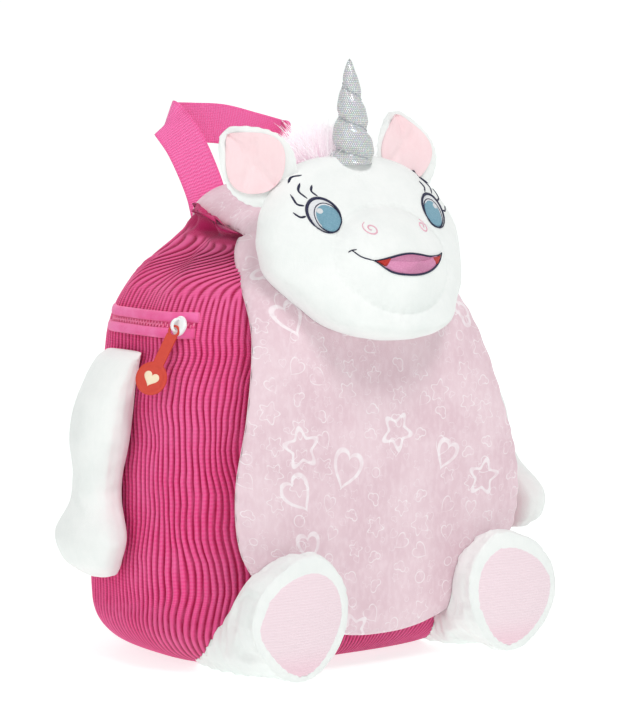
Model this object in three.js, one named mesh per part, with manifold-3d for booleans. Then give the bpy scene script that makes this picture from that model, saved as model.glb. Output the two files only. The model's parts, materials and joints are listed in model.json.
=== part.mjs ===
// A child's plush animal backpack: a corduroy drawstring sack closed by a padded front flap that carries
// a stuffed unicorn head, with stuffed arms and legs, a side zip pocket, a carry loop and shoulder straps.
// Millimetres, +Z up. The animal faces -Y, its left hand is at +X, and the sack stands on Z = 0.
import * as THREE from "three";
import { mergeVertices } from "three/addons/utils/BufferGeometryUtils.js";
import Module from "manifold-3d";

const wasm = await Module();
wasm.setup();

// The air left between two pieces that touch on the real bag.
const CLEARANCE = 0.4;

const SACK = {
  width: 267,
  depth: 184,
  height: 280,
  mouthTip: 8,
  wall: 3,
  floorThickness: 4,
  cornering: 2.9,
  shift: -12,
  gathers: 14,
  gatherDepth: 7,
  sides: 56,
  rows: 14,
};

// Outline of the sack from the rim of its floor to the ruffle of its mouth. up is a share of the height,
// wide and deep are shares of the width and depth, and pleat is a share of the gather depth.
const SACK_ROWS = [
  { up: 0.0, wide: 0.66, deep: 0.62, pleat: 0 },
  { up: 0.012, wide: 0.77, deep: 0.75, pleat: 0 },
  { up: 0.045, wide: 0.9, deep: 0.89, pleat: 0.1 },
  { up: 0.1, wide: 0.985, deep: 0.98, pleat: 0.05 },
  { up: 0.18, wide: 1.0, deep: 1.0, pleat: 0 },
  { up: 0.36, wide: 0.99, deep: 1.0, pleat: 0 },
  { up: 0.54, wide: 0.965, deep: 0.98, pleat: 0 },
  { up: 0.7, wide: 0.93, deep: 0.94, pleat: 0.1 },
  { up: 0.81, wide: 0.88, deep: 0.88, pleat: 0.3 },
  { up: 0.885, wide: 0.79, deep: 0.79, pleat: 0.6 },
  { up: 0.93, wide: 0.68, deep: 0.68, pleat: 0.9 },
  { up: 0.965, wide: 0.57, deep: 0.57, pleat: 1 },
  { up: 0.985, wide: 0.48, deep: 0.49, pleat: 1 },
  { up: 1.0, wide: 0.5, deep: 0.51, pleat: 0.9 },
];

const FLAP = {
  width: 224,
  thickness: 15,
  edge: 6,
  bottomRise: 40,
  bottomUp: 0.075,
  standOff: 2.5,
  overMouth: 8,
  across: 8,
  down: 20,
};

// The flap from its seam at the back, over the mouth and down the front: its half width as a share, and
// how far its side edges drape back, in millimetres.
const FLAP_ROWS = [
  { wide: 0.4, drape: 11 },
  { wide: 0.45, drape: 14 },
  { wide: 0.54, drape: 17 },
  { wide: 0.7, drape: 20 },
  { wide: 0.8, drape: 7 },
  { wide: 0.905, drape: 1 },
  { wide: 1.0, drape: 0 },
  { wide: 0.98, drape: 0 },
  { wide: 0.84, drape: 0 },
];

const HEAD = {
  width: 150,
  depth: 76,
  height: 114,
  chinZ: 212,
  squareness: 2.15,
  around: 26,
  rows: 18,
};

// Outline of the head from its chin to its crown, as shares of its height, width and depth. ahead is how
// far in front of the sack's front face a level of the head is centred.
const HEAD_ROWS = [
  { up: 0.0, wide: 0.2, deep: 0.24, ahead: 35 },
  { up: 0.03, wide: 0.42, deep: 0.49, ahead: 33 },
  { up: 0.09, wide: 0.63, deep: 0.74, ahead: 27 },
  { up: 0.19, wide: 0.79, deep: 0.89, ahead: 17 },
  { up: 0.32, wide: 0.94, deep: 0.98, ahead: 6 },
  { up: 0.42, wide: 1.0, deep: 0.98, ahead: 1 },
  { up: 0.56, wide: 1.0, deep: 0.92, ahead: -3 },
  { up: 0.7, wide: 0.94, deep: 0.78, ahead: -7 },
  { up: 0.86, wide: 0.75, deep: 0.58, ahead: -13 },
  { up: 0.94, wide: 0.57, deep: 0.42, ahead: -15 },
  { up: 0.985, wide: 0.36, deep: 0.27, ahead: -15 },
  { up: 1.0, wide: 0.18, deep: 0.14, ahead: -14 },
];

// The seamed muzzle swells softly out of the face.
const MUZZLE = { halfWidth: 43, halfHeight: 33, up: 50, swell: 15 };

const EYE = { across: 43, up: 77, width: 24, height: 23, thickness: 1.2, lift: 0 };
const MOUTH = { across: 0, up: 49, width: 60, height: 14, thickness: 1.2, lift: 5 };

const EAR = { length: 51, width: 48, thickness: 7, cup: 9, behind: 19, cells: 8 };
const EARS = [
  { name: "right", x: -53, up: 94, tilt: -42, turn: -25, lean: -14 },
  { name: "left", x: 48, up: 91, tilt: -6, turn: 0, lean: -6 },
];
const EAR_LINING = { share: 0.75, thickness: 1.8, gap: 0.6 };

const HORN = { length: 68, radius: 15.5, turns: 3.4, groove: 0.2, behind: 9, sink: 6, taper: 0.66, lean: -3 };

const MANE = { width: 44, depth: 32, height: 28, x: -3, behind: 38, up: 102, lockRadius: 10, sides: 5 };

// Each lock of the mane: where its tip ends up from the middle of the mane, in millimetres.
const MANE_LOCKS = [
  { side: -26, back: -2, up: 20 },
  { side: -15, back: 6, up: 31 },
  { side: 1, back: -3, up: 36 },
  { side: 14, back: 7, up: 31 },
  { side: 25, back: -1, up: 19 },
  { side: -22, back: 16, up: 12 },
  { side: 2, back: 18, up: 22 },
  { side: 22, back: 16, up: 11 },
];

const ARM = { length: 145, width: 60, thickness: 36, topUp: 0.722, back: 3, swingRight: -1, swingLeft: -25 };

// Rings of an arm from its flat seam at the shoulder to the hoof.
const ARM_ROWS = [
  { along: 0.0, wide: 0.64, thick: 0.2 },
  { along: 0.05, wide: 0.74, thick: 0.5 },
  { along: 0.2, wide: 0.9, thick: 0.86 },
  { along: 0.38, wide: 0.95, thick: 0.95 },
  { along: 0.55, wide: 0.87, thick: 0.9 },
  { along: 0.66, wide: 0.86, thick: 0.9 },
  { along: 0.8, wide: 1.04, thick: 0.97 },
  { along: 0.92, wide: 0.8, thick: 0.8 },
  { along: 0.98, wide: 0.5, thick: 0.48 },
];

// spread is a share of the sack's half width, and soleAhead is how far the sole is in front of the sack.
const LEG = { length: 106, width: 76, height: 86, spread: 0.63, soleAhead: 51 };

// Rings of a leg from the sack to the sole. rise is the height of a ring's middle.
const LEG_ROWS = [
  { along: 0.0, wide: 0.5, tall: 0.36, rise: 0.2 },
  { along: 0.16, wide: 0.54, tall: 0.4, rise: 0.215 },
  { along: 0.34, wide: 0.56, tall: 0.44, rise: 0.23 },
  { along: 0.5, wide: 0.6, tall: 0.52, rise: 0.27 },
  { along: 0.66, wide: 0.76, tall: 0.76, rise: 0.385 },
  { along: 0.82, wide: 0.95, tall: 0.97, rise: 0.49 },
  { along: 0.94, wide: 1.0, tall: 1.0, rise: 0.502 },
  { along: 1.0, wide: 0.92, tall: 0.92, rise: 0.5 },
];
const SOLE = { width: 68, height: 74, thickness: 2, crown: 4 };

const WEBBING = { width: 27, thickness: 2 };

const HANDLE = { halfSpan: 50, rise: 71, lean: 24, seamUp: 0.965, steps: 32 };

// Half of the carry loop, from its seam to its middle, and the way that the webbing's width points.
const HANDLE_ROWS = [
  { side: 0.5, back: 0, up: 0, acrossX: 0.96, acrossY: -0.28, acrossZ: 0 },
  { side: 0.58, back: 0.14, up: 0.34, acrossX: 0.92, acrossY: -0.34, acrossZ: 0.18 },
  { side: 0.8, back: 0.34, up: 0.74, acrossX: 0.72, acrossY: -0.4, acrossZ: 0.56 },
  { side: 0.99, back: 0.6, up: 0.98, acrossX: 0.36, acrossY: -0.3, acrossZ: 0.88 },
  { side: 0.88, back: 0.9, up: 0.97, acrossX: 0.08, acrossY: -0.16, acrossZ: 0.98 },
  { side: 0.5, back: 1.02, up: 0.92, acrossX: 0, acrossY: -0.1, acrossZ: 1 },
  { side: 0.0, back: 1.05, up: 0.9, acrossX: 0, acrossY: -0.08, acrossZ: 1 },
];

const STRAP = {
  width: 40,
  thickness: 6,
  padEnd: 0.6,
  topX: 34,
  bottomX: 80,
  bow: 44,
  topUp: 0.87,
  bottomUp: 0.1,
  steps: 20,
};
const ADJUSTER = { width: 38, height: 20, thickness: 7, station: 6.4 };

const ZIP = {
  length: 92,
  forward: 4,
  up: 0.811,
  slope: 0.32,
  weltHeight: 8.4,
  weltThickness: 3,
  gap: 4.6,
  coilThickness: 2.2,
  steps: 12,
};
const SLIDER = { length: 14, width: 12, thickness: 4, standOff: 8.2, place: 0.94, arch: 4, wire: 0.9 };
const PULL = { length: 33, neck: 8, disc: 21, thickness: 1.5, hole: 2.4, clear: 0.6, lean: 15 };

// Moves every corner of a geometry to where place() puts it.
function shaped(geometry, place) {
  const corners = geometry.attributes.position;
  const corner = new THREE.Vector3();
  for (let i = 0; i < corners.count; i += 1) {
    corner.fromBufferAttribute(corners, i);
    const moved = place(corner, i);
    corners.setXYZ(i, moved.x, moved.y, moved.z);
  }
  return geometry;
}

// Reads the columns of a table smoothly between its rows, at a fractional row number.
function smoothRows(rows, columns) {
  const places = rows.map((row, i) => i);
  const values = rows.flatMap((row) => columns.map((column) => row[column]));
  const curve = new THREE.CubicInterpolant(places, values, columns.length);
  return (row) => {
    const found = curve.evaluate(THREE.MathUtils.clamp(row, 0, rows.length - 1));
    return Object.fromEntries(columns.map((column, i) => [column, found[i]]));
  };
}

// A closed box of cells whose corners are placed by share across (-1 to 1), share along (0 to 1) and
// share of the thickness (0 to 1).
function panel(across, along, place, layers = 1) {
  const cells = new THREE.BoxGeometry(2, 1, 1, across, along, layers);
  return shaped(cells, (corner) => place(corner.x, corner.y + 0.5, corner.z + 0.5));
}

// A closed round skin: rings of corners from one pole to the other. place() takes a turn and a ring
// number, and the first and last rings are the poles.
function rings(count, sides, place) {
  const profile = Array.from({ length: count }, (_, ring) => {
    const isPole = ring === 0 || ring === count - 1;
    return new THREE.Vector2(isPole ? 0 : 1, ring);
  });
  const skin = new THREE.LatheGeometry(profile, sides);
  return shaped(skin, (corner) => place(Math.atan2(corner.x, corner.z), Math.round(corner.y)));
}

function solidFrom(geometry) {
  const bare = geometry.clone();
  bare.deleteAttribute("normal");
  bare.deleteAttribute("uv");
  const merged = mergeVertices(bare, 1e-3);
  return new wasm.Manifold(
    new wasm.Mesh({
      numProp: 3,
      vertProperties: merged.attributes.position.array,
      triVerts: new Uint32Array(merged.index.array),
    }),
  );
}

function geometryFrom(solid) {
  const mesh = solid.getMesh();
  return new THREE.BufferGeometry()
    .setAttribute("position", new THREE.BufferAttribute(mesh.vertProperties, 3))
    .setIndex(new THREE.BufferAttribute(mesh.triVerts, 1));
}

// Cuts a mesh back from what it is sewn to. The tools are solids in the backpack's own frame.
function seat(mesh, ...tools) {
  mesh.updateWorldMatrix(true, false);
  const placed = mesh.geometry.clone().applyMatrix4(mesh.matrixWorld);
  const cut = tools.reduce((solid, tool) => solid.subtract(tool), solidFrom(placed));
  const largest = cut.decompose().reduce((a, b) => (a.volume() > b.volume() ? a : b));
  mesh.geometry = geometryFrom(largest).applyMatrix4(mesh.matrixWorld.clone().invert());
  return mesh;
}

const fabric = {
  corduroy: new THREE.MeshStandardMaterial({ color: 0xd8377f, roughness: 0.95 }),
  panelPink: new THREE.MeshStandardMaterial({ color: 0xf3ccd6, roughness: 0.95 }),
  plushWhite: new THREE.MeshStandardMaterial({ color: 0xf2f3ef, roughness: 0.95 }),
  liningPink: new THREE.MeshStandardMaterial({ color: 0xf6c9cf, roughness: 0.95 }),
  furPink: new THREE.MeshStandardMaterial({ color: 0xfadbe8, roughness: 1 }),
  webbing: new THREE.MeshStandardMaterial({ color: 0xfb5fa2, roughness: 0.8 }),
  silver: new THREE.MeshStandardMaterial({ color: 0xc9cdd2, roughness: 0.35, metalness: 0.7 }),
  zipPink: new THREE.MeshStandardMaterial({ color: 0xf2609f, roughness: 0.6 }),
  plasticWhite: new THREE.MeshStandardMaterial({ color: 0xf4f4f4, roughness: 0.3 }),
  plasticPink: new THREE.MeshStandardMaterial({ color: 0xd8377f, roughness: 0.35 }),
  pullRed: new THREE.MeshStandardMaterial({ color: 0xd5392c, roughness: 0.45 }),
  eyeBlue: new THREE.MeshStandardMaterial({ color: 0x7fb3c9, roughness: 0.6 }),
  mouthPink: new THREE.MeshStandardMaterial({ color: 0xd77fae, roughness: 0.7 }),
};

const backpack = new THREE.Group();

function piece(name, geometry, material, parent = backpack) {
  const mesh = new THREE.Mesh(geometry, material);
  mesh.name = name;
  parent.add(mesh);
  return mesh;
}

// The sack's surface

const sackRow = smoothRows(SACK_ROWS, ["up", "wide", "deep", "pleat"]);
const MOUTH_ROW = SACK_ROWS.length - 1;

// The fractional row at which an outline reaches a share of its height.
function rowWhere(read, last, up) {
  let low = 0;
  let high = last;
  for (let halving = 0; halving < 30; halving += 1) {
    const middle = (low + high) / 2;
    if (read(middle).up < up) low = middle;
    else high = middle;
  }
  return low;
}

function sackLevel(z) {
  return sackRow(rowWhere(sackRow, MOUTH_ROW, z / SACK.height));
}

// A point on the sack at a turn round it and a row of its outline, moved outwards.
function sackPoint(turn, row, out = 0) {
  const shape = sackRow(row);
  const halfWidth = (SACK.width / 2) * shape.wide + out;
  const halfDepth = (SACK.depth / 2) * shape.deep + out;
  const squared =
    Math.abs(Math.cos(turn) / halfWidth) ** SACK.cornering +
    Math.abs(Math.sin(turn) / halfDepth) ** SACK.cornering;
  const pleat = SACK.gatherDepth * shape.pleat * (0.5 + 0.5 * Math.cos(SACK.gathers * turn));
  const radius = squared ** (-1 / SACK.cornering) - pleat;
  const back = Math.sin(turn) * radius;
  const tip = (SACK.mouthTip * shape.up ** 8 * back) / halfDepth;
  return new THREE.Vector3(Math.cos(turn) * radius, SACK.shift + back, SACK.height * shape.up + tip);
}

// How far the sack's side lies from its middle plane, at a place along its depth and height.
function sackSide(y, z) {
  const shape = sackLevel(z);
  const share = Math.min(Math.abs(y - SACK.shift) / ((SACK.depth / 2) * shape.deep), 0.97);
  return (SACK.width / 2) * shape.wide * (1 - share ** SACK.cornering) ** (1 / SACK.cornering);
}

const FRONT = -Math.PI / 2;
const BACK = Math.PI / 2;

function rowsFrom(first, last, count) {
  return Array.from({ length: count }, (_, i) => first + ((last - first) * i) / (count - 1));
}

function sackShell() {
  const outside = rowsFrom(0, MOUTH_ROW, SACK.rows);
  const inside = rowsFrom(MOUTH_ROW, 1.4, SACK.rows / 2 - 1);
  const walls = [
    ...outside.map((row) => ({ row, out: 0 })),
    ...inside.map((row) => ({ row, out: -SACK.wall })),
  ];
  const last = walls.length + 1;
  return rings(last + 1, SACK.sides, (turn, ring) => {
    if (ring === 0) return new THREE.Vector3(0, SACK.shift, 0);
    if (ring === last) return new THREE.Vector3(0, SACK.shift, SACK.floorThickness);
    const { row, out } = walls[ring - 1];
    const point = sackPoint(turn, row, out);
    if (out < 0) point.z = Math.max(point.z, SACK.floorThickness);
    return point;
  });
}

// The sack as one closed lump, grown by the clearance, to cut other pieces back with.
function sackLump() {
  const outside = rowsFrom(0, MOUTH_ROW, SACK.rows);
  const rim = [3 * CLEARANCE, -SACK.wall - CLEARANCE];
  const walls = [
    ...outside.slice(0, -1).map((row) => ({ row, out: CLEARANCE, raised: 0 })),
    ...rim.map((out) => ({ row: MOUTH_ROW, out, raised: 2 * CLEARANCE })),
  ];
  const last = walls.length + 1;
  return solidFrom(
    rings(last + 1, SACK.sides, (turn, ring) => {
      if (ring === 0) return new THREE.Vector3(0, SACK.shift, -CLEARANCE);
      if (ring === last) return new THREE.Vector3(0, SACK.shift, SACK.height + 2 * CLEARANCE);
      const { row, out, raised } = walls[ring - 1];
      const point = sackPoint(turn, row, out);
      point.z = ring === 1 ? -CLEARANCE : point.z + raised;
      return point;
    }),
  );
}

// The front flap

// The flap's inner face in the sack's middle plane, from its seam at the back to its bottom edge.
function flapLine() {
  const rim = sackPoint(BACK, MOUTH_ROW, FLAP.standOff);
  const back = [rim.clone().setZ(rim.z - 8), rim.clone().add(new THREE.Vector3(0, -4, 3))];
  const over = new THREE.Vector3(0, SACK.shift, SACK.height + FLAP.overMouth);
  const brow = sackPoint(FRONT, MOUTH_ROW).setZ(SACK.height + FLAP.standOff);
  const front = rowsFrom(MOUTH_ROW - 1.8, 4, 8).map((row) => sackPoint(FRONT, row, FLAP.standOff));
  const end = front.at(-1).clone().setZ(SACK.height * FLAP.bottomUp);
  const points = [...back, over, brow, ...front, end].map((point) => point.setX(0));
  return new THREE.CatmullRomCurve3(points, false, "centripetal");
}

const flapPath = flapLine();
const flapLength = flapPath.getLength();
const flapRow = smoothRows(FLAP_ROWS, ["wide", "drape"]);

// A point of the flap: share across towards the animal's right, share down, and share through its
// thickness from the inner face.
function flapPoint(across, down, through, grow) {
  const shape = flapRow(down * (FLAP_ROWS.length - 1));
  const lifted = (FLAP.bottomRise / flapLength) * Math.abs(across) ** 2.4 * down ** 6;
  const share = THREE.MathUtils.clamp(down - lifted, 0, 1);
  const heading = flapPath.getTangentAt(share);
  const outwards = new THREE.Vector3(0, heading.z, -heading.y);
  const rim = Math.max(Math.abs(across) ** 4, Math.abs(2 * down - 1) ** 14);
  const thickness = THREE.MathUtils.lerp(FLAP.thickness, FLAP.edge, rim);
  const drape = shape.drape * Math.abs(across) ** 2.6;
  const rounding = (FLAP.edge / 3) * rim * (1 - Math.abs(2 * through - 1));
  const beyondEnd = down === 0 || down === 1 ? Math.sign(down - 0.5) * (grow + rounding) : 0;
  return flapPath
    .getPointAt(share)
    .setX(-across * ((FLAP.width / 2) * shape.wide + grow + rounding))
    .addScaledVector(outwards, FLAP.thickness / 2 + (through - 0.5) * (thickness + 2 * grow) - drape)
    .addScaledVector(heading, beyondEnd);
}

function flapPanel(grow = 0) {
  const place = (across, down, through) => flapPoint(across, down, through, grow);
  return panel(FLAP.across, FLAP.down, place, 2);
}

// Straps and webbing

// A ribbon through stations, each with its place, the way its width points, its width and thickness.
function ribbon(stations, steps, acrossCells = 1) {
  const columns = ["x", "y", "z", "acrossX", "acrossY", "acrossZ", "width", "thickness"];
  const read = smoothRows(stations, columns);
  const last = stations.length - 1;
  return panel(acrossCells, steps, (side, along, through) => {
    const here = read(along * last);
    const before = read(Math.max(along - 0.01, 0) * last);
    const after = read(Math.min(along + 0.01, 1) * last);
    const heading = new THREE.Vector3().subVectors(after, before).normalize();
    const across = new THREE.Vector3(here.acrossX, here.acrossY, here.acrossZ);
    across.addScaledVector(heading, -across.dot(heading)).normalize();
    const face = new THREE.Vector3().crossVectors(across, heading);
    return new THREE.Vector3(here.x, here.y, here.z)
      .addScaledVector(across, (side * here.width) / 2)
      .addScaledVector(face, (through - 0.5) * here.thickness);
  });
}

function carryHandle() {
  const seam = sackPoint(BACK, rowWhere(sackRow, MOUTH_ROW, HANDLE.seamUp));
  const half = HANDLE_ROWS.map((row) => ({
    ...row,
    ...WEBBING,
    x: -HANDLE.halfSpan * row.side,
    y: seam.y + HANDLE.lean * row.back,
    z: seam.z + HANDLE.rise * row.up,
  }));
  const otherHalf = half
    .slice(0, -1)
    .reverse()
    .map((row) => ({ ...row, x: -row.x, acrossX: -row.acrossX }));
  return ribbon([...half, ...otherHalf], HANDLE.steps);
}

// How far behind its middle plane the sack's back lies, at a place across it and up it.
function sackBack(x, z) {
  const shape = sackLevel(z);
  const share = Math.min(Math.abs(x) / ((SACK.width / 2) * shape.wide), 0.97);
  return (SACK.depth / 2) * shape.deep * (1 - share ** SACK.cornering) ** (1 / SACK.cornering);
}

// A shoulder strap bowed out from the sack's back, padded above and bare webbing below.
function strapStations(side, grow = 0) {
  const shares = [0, 0.05, 0.2, 0.4, 0.58, 0.64, 0.7, 0.85, 0.96, 1];
  return shares.map((share) => {
    const z = SACK.height * THREE.MathUtils.lerp(STRAP.topUp, STRAP.bottomUp, share);
    const x = side * THREE.MathUtils.lerp(STRAP.topX, STRAP.bottomX, share);
    const stand = STRAP.bow * Math.sin(Math.PI * share) ** 0.7;
    const isPadded = share < STRAP.padEnd;
    return {
      x,
      y: SACK.shift + sackBack(x, z) + stand,
      z,
      acrossX: 1,
      acrossY: 0,
      acrossZ: side * 0.2,
      width: (isPadded ? STRAP.width : WEBBING.width) + 2 * grow,
      thickness: (isPadded ? STRAP.thickness : WEBBING.thickness) + 2 * grow,
    };
  });
}

// A flat slide with two windows, threaded on the webbing below a strap's pad.
function strapAdjuster(side) {
  const outline = new THREE.Shape();
  const halfWidth = ADJUSTER.width / 2;
  const halfHeight = ADJUSTER.height / 2;
  outline.moveTo(-halfWidth, -halfHeight);
  outline.lineTo(halfWidth, -halfHeight);
  outline.lineTo(halfWidth, halfHeight);
  outline.lineTo(-halfWidth, halfHeight);
  for (const middle of [-0.24, 0.24]) {
    outline.holes.push(windowPath(0.78 * ADJUSTER.width, 0.26 * ADJUSTER.height, middle * ADJUSTER.height));
  }
  const slide = new THREE.ExtrudeGeometry(outline, { depth: ADJUSTER.thickness, bevelEnabled: false });
  slide.translate(0, 0, -ADJUSTER.thickness / 2);
  const read = smoothRows(strapStations(side), ["x", "y", "z"]);
  const place = new THREE.Vector3().copy(read(ADJUSTER.station));
  const heading = new THREE.Vector3().subVectors(read(ADJUSTER.station + 0.2), place).normalize();
  const across = new THREE.Vector3(1, 0, side * 0.2);
  across.addScaledVector(heading, -across.dot(heading)).normalize();
  const face = new THREE.Vector3().crossVectors(across, heading);
  slide.applyMatrix4(new THREE.Matrix4().makeBasis(across, heading, face).setPosition(place));
  const strap = solidFrom(ribbon(strapStations(side, CLEARANCE), STRAP.steps));
  return geometryFrom(solidFrom(slide).subtract(strap));
}

function windowPath(width, height, middle) {
  const path = new THREE.Path();
  path.moveTo(-width / 2, middle - height / 2);
  path.lineTo(-width / 2, middle + height / 2);
  path.lineTo(width / 2, middle + height / 2);
  path.lineTo(width / 2, middle - height / 2);
  return path;
}

// The head

const headRow = smoothRows(HEAD_ROWS, ["up", "wide", "deep", "ahead"]);
const CROWN_ROW = HEAD_ROWS.length - 1;
const faceForward = SACK.depth / 2;

function swellAt(x, z) {
  const away = (x / MUZZLE.halfWidth) ** 2 + ((z - HEAD.chinZ - MUZZLE.up) / MUZZLE.halfHeight) ** 2;
  return MUZZLE.swell * Math.sqrt(Math.max(0, 1 - away));
}

// A point on the head at a turn round it and a row of its outline, moved outwards.
function headPoint(turn, row, out = 0) {
  const shape = headRow(row);
  const z = HEAD.chinZ + HEAD.height * shape.up + out * (2 * shape.up - 1);
  const halfWidth = (HEAD.width / 2) * shape.wide + out;
  const halfDepth = (HEAD.depth / 2) * shape.deep + out;
  const squared =
    Math.abs(Math.cos(turn) / halfWidth) ** HEAD.squareness +
    Math.abs(Math.sin(turn) / halfDepth) ** HEAD.squareness;
  const radius = squared ** (-1 / HEAD.squareness);
  const x = Math.cos(turn) * radius;
  const swell = Math.sin(turn) < 0 ? swellAt(x, z) : 0;
  return new THREE.Vector3(x, Math.sin(turn) * radius - faceForward - shape.ahead - swell, z);
}

function headSkin(out = 0) {
  const rows = rowsFrom(0, CROWN_ROW, HEAD.rows);
  const last = rows.length + 1;
  return rings(last + 1, HEAD.around, (turn, ring) => {
    if (ring > 0 && ring < last) return headPoint(turn, rows[ring - 1], out);
    const end = headRow(ring === 0 ? 0 : CROWN_ROW);
    return new THREE.Vector3(0, -faceForward - end.ahead, HEAD.chinZ + HEAD.height * end.up + out * (2 * end.up - 1));
  });
}

// Where the face is, at a place across and up it.
function facePoint(x, up, out) {
  const shape = headRow(rowWhere(headRow, CROWN_ROW, up / HEAD.height));
  const share = Math.min(Math.abs(x) / ((HEAD.width / 2) * shape.wide), 0.97);
  const bulge = (1 - share ** HEAD.squareness) ** (1 / HEAD.squareness);
  const z = HEAD.chinZ + up;
  const depth = (HEAD.depth / 2) * shape.deep * bulge + swellAt(x, z) + out;
  return new THREE.Vector3(x, -faceForward - shape.ahead - depth, z);
}

// An embroidered patch on the face, an oval whose ends turn up by lift.
function facePatch({ across, up, width, height, thickness, lift }) {
  const shares = [0, 0.55, 1, 1, 0.55, 0];
  return rings(shares.length, 16, (turn, ring) => {
    const side = Math.cos(turn) * shares[ring];
    const rise = (Math.sin(turn) * shares[ring] * height) / 2 + lift * side ** 2;
    return facePoint(across + (side * width) / 2, up + rise, ring < 3 ? -thickness : thickness + CLEARANCE);
  });
}

function hornCone() {
  const last = 18;
  return rings(last + 1, 12, (turn, ring) => {
    const along = ring / last;
    const dip = (0.5 + 0.5 * Math.cos(turn + 2 * Math.PI * HORN.turns * along)) ** 3;
    const radius = HORN.radius * (1 - along) ** HORN.taper * (1 - HORN.groove * dip);
    const share = ring === 0 || ring === last ? 0 : radius;
    return new THREE.Vector3(Math.cos(turn) * share, Math.sin(turn) * share, HORN.length * along);
  });
}

// A leaf-shaped ear with a rounded edge, cupped forwards. The lining covers the same cells of its front.
function earFront(across, along) {
  const half = (EAR.width / 2) * Math.sin(Math.PI * (0.2 + 0.77 * along)) ** 0.75;
  const puff = EAR.thickness * (1 - 0.7 * Math.max(Math.abs(across) ** 3, along ** 6));
  const cup = EAR.cup * Math.abs(across) ** 2 * Math.sin(Math.PI * (0.25 + 0.7 * along));
  return { x: across * half, z: along * EAR.length, back: -cup, front: -cup - puff };
}

function earLeaf() {
  return panel(EAR.cells, EAR.cells, (across, along, through) => {
    const { x, z, back, front } = earFront(across, along);
    return new THREE.Vector3(x, THREE.MathUtils.lerp(back, front, through), z);
  });
}

function earLining() {
  const cells = Math.round(EAR.cells * EAR_LINING.share);
  const margin = (1 - EAR_LINING.share) / 2;
  return panel(cells, cells, (across, along, through) => {
    const { x, z, front } = earFront(across * EAR_LINING.share, margin + along * EAR_LINING.share);
    return new THREE.Vector3(x, front - EAR_LINING.gap - through * EAR_LINING.thickness, z);
  });
}

function placeEar(mesh, { x, up, tilt, turn, lean }) {
  mesh.position.set(x, EAR.behind - faceForward, HEAD.chinZ + up);
  mesh.rotation.set(...[lean, tilt, turn].map(THREE.MathUtils.degToRad));
}

// The mane: curved locks of fur fused into one tuft.
function maneTuft() {
  const tuft = new THREE.SphereGeometry(1, 10, 6).scale(MANE.width / 2, MANE.height / 2, MANE.depth / 2);
  const locks = MANE_LOCKS.map((lock) => solidFrom(maneLock(lock)));
  const fused = locks.reduce((solid, lock) => solid.add(lock), solidFrom(tuft.rotateX(Math.PI / 2)));
  return geometryFrom(fused).translate(MANE.x, MANE.behind - faceForward, HEAD.chinZ + MANE.up);
}

function maneLock({ side, back, up }) {
  const tip = new THREE.Vector3(side, back, up);
  const path = new THREE.QuadraticBezierCurve3(
    new THREE.Vector3(side * 0.2, back * 0.3, 0),
    new THREE.Vector3(side * 0.45, back * 0.4, up * 0.85),
    tip,
  );
  const last = 5;
  return rings(last + 1, MANE.sides, (turn, ring) => {
    const along = ring / last;
    const radius = ring === 0 || ring === last ? 0 : MANE.lockRadius * (1 - along ** 2);
    const heading = path.getTangent(along);
    const first = new THREE.Vector3(0, 1, 0).cross(heading).normalize();
    const second = new THREE.Vector3().crossVectors(heading, first);
    return path
      .getPoint(along)
      .addScaledVector(first, Math.cos(turn) * radius)
      .addScaledVector(second, Math.sin(turn) * radius);
  });
}

// Arms and legs

// A stuffed limb as rings: table rows read smoothly, with a pole at each end.
function limb(rows, columns, count, sides, place) {
  const read = smoothRows(rows, columns);
  const last = count + 1;
  return rings(count + 2, sides, (turn, ring) => {
    const isPole = ring === 0 || ring === last;
    const row = ((rows.length - 1) * THREE.MathUtils.clamp(ring - 1, 0, count - 1)) / (count - 1);
    return place(read(row), isPole ? 0 : Math.cos(turn), isPole ? 0 : Math.sin(turn), ring === last);
  });
}

// An arm hangs from its shoulder seam against the sack's side.
function arm(side, swing) {
  const angle = THREE.MathUtils.degToRad(swing);
  const shoulder = SACK.shift + ARM.back;
  return limb(ARM_ROWS, ["along", "wide", "thick"], 12, 14, (row, cosine, sine, isTip) => {
    const along = ARM.length * (isTip ? 1 : row.along);
    const z = ARM.topUp * SACK.height - along * Math.cos(angle);
    const halfThick = (ARM.thickness / 2) * row.thick;
    const x = side * (sackSide(shoulder, z) + 0.9 * halfThick) + cosine * halfThick;
    return new THREE.Vector3(x, shoulder + along * Math.sin(angle) - (sine * ARM.width * row.wide) / 2, z);
  });
}

const legMiddle = (SACK.width / 2) * LEG.spread;
const soleForward = SACK.depth / 2 + LEG.soleAhead;

// A leg lies forwards on the ground from the sack's lower corner to its flat round sole.
function leg(side) {
  return limb(LEG_ROWS, ["along", "wide", "tall", "rise"], 12, 14, (row, cosine, sine) => {
    const x = side * legMiddle + (cosine * LEG.width * row.wide) / 2;
    const z = LEG.height * (row.rise + (sine * row.tall) / 2);
    return new THREE.Vector3(x, LEG.length * (1 - row.along) - soleForward, z);
  });
}

function sole(side) {
  const shares = [0, 1, 1, 0.8, 0];
  const rise = LEG.height * LEG_ROWS.at(-1).rise;
  return rings(shares.length, 20, (turn, ring) => {
    const share = shares[ring];
    const crown = ring < 2 ? 0 : SOLE.thickness + SOLE.crown * (1 - share ** 2);
    const x = side * legMiddle + (Math.cos(turn) * share * SOLE.width) / 2;
    const z = rise + (Math.sin(turn) * share * SOLE.height) / 2;
    return new THREE.Vector3(x, -soleForward - CLEARANCE - crown, z);
  });
}

// The side zip pocket

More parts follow.
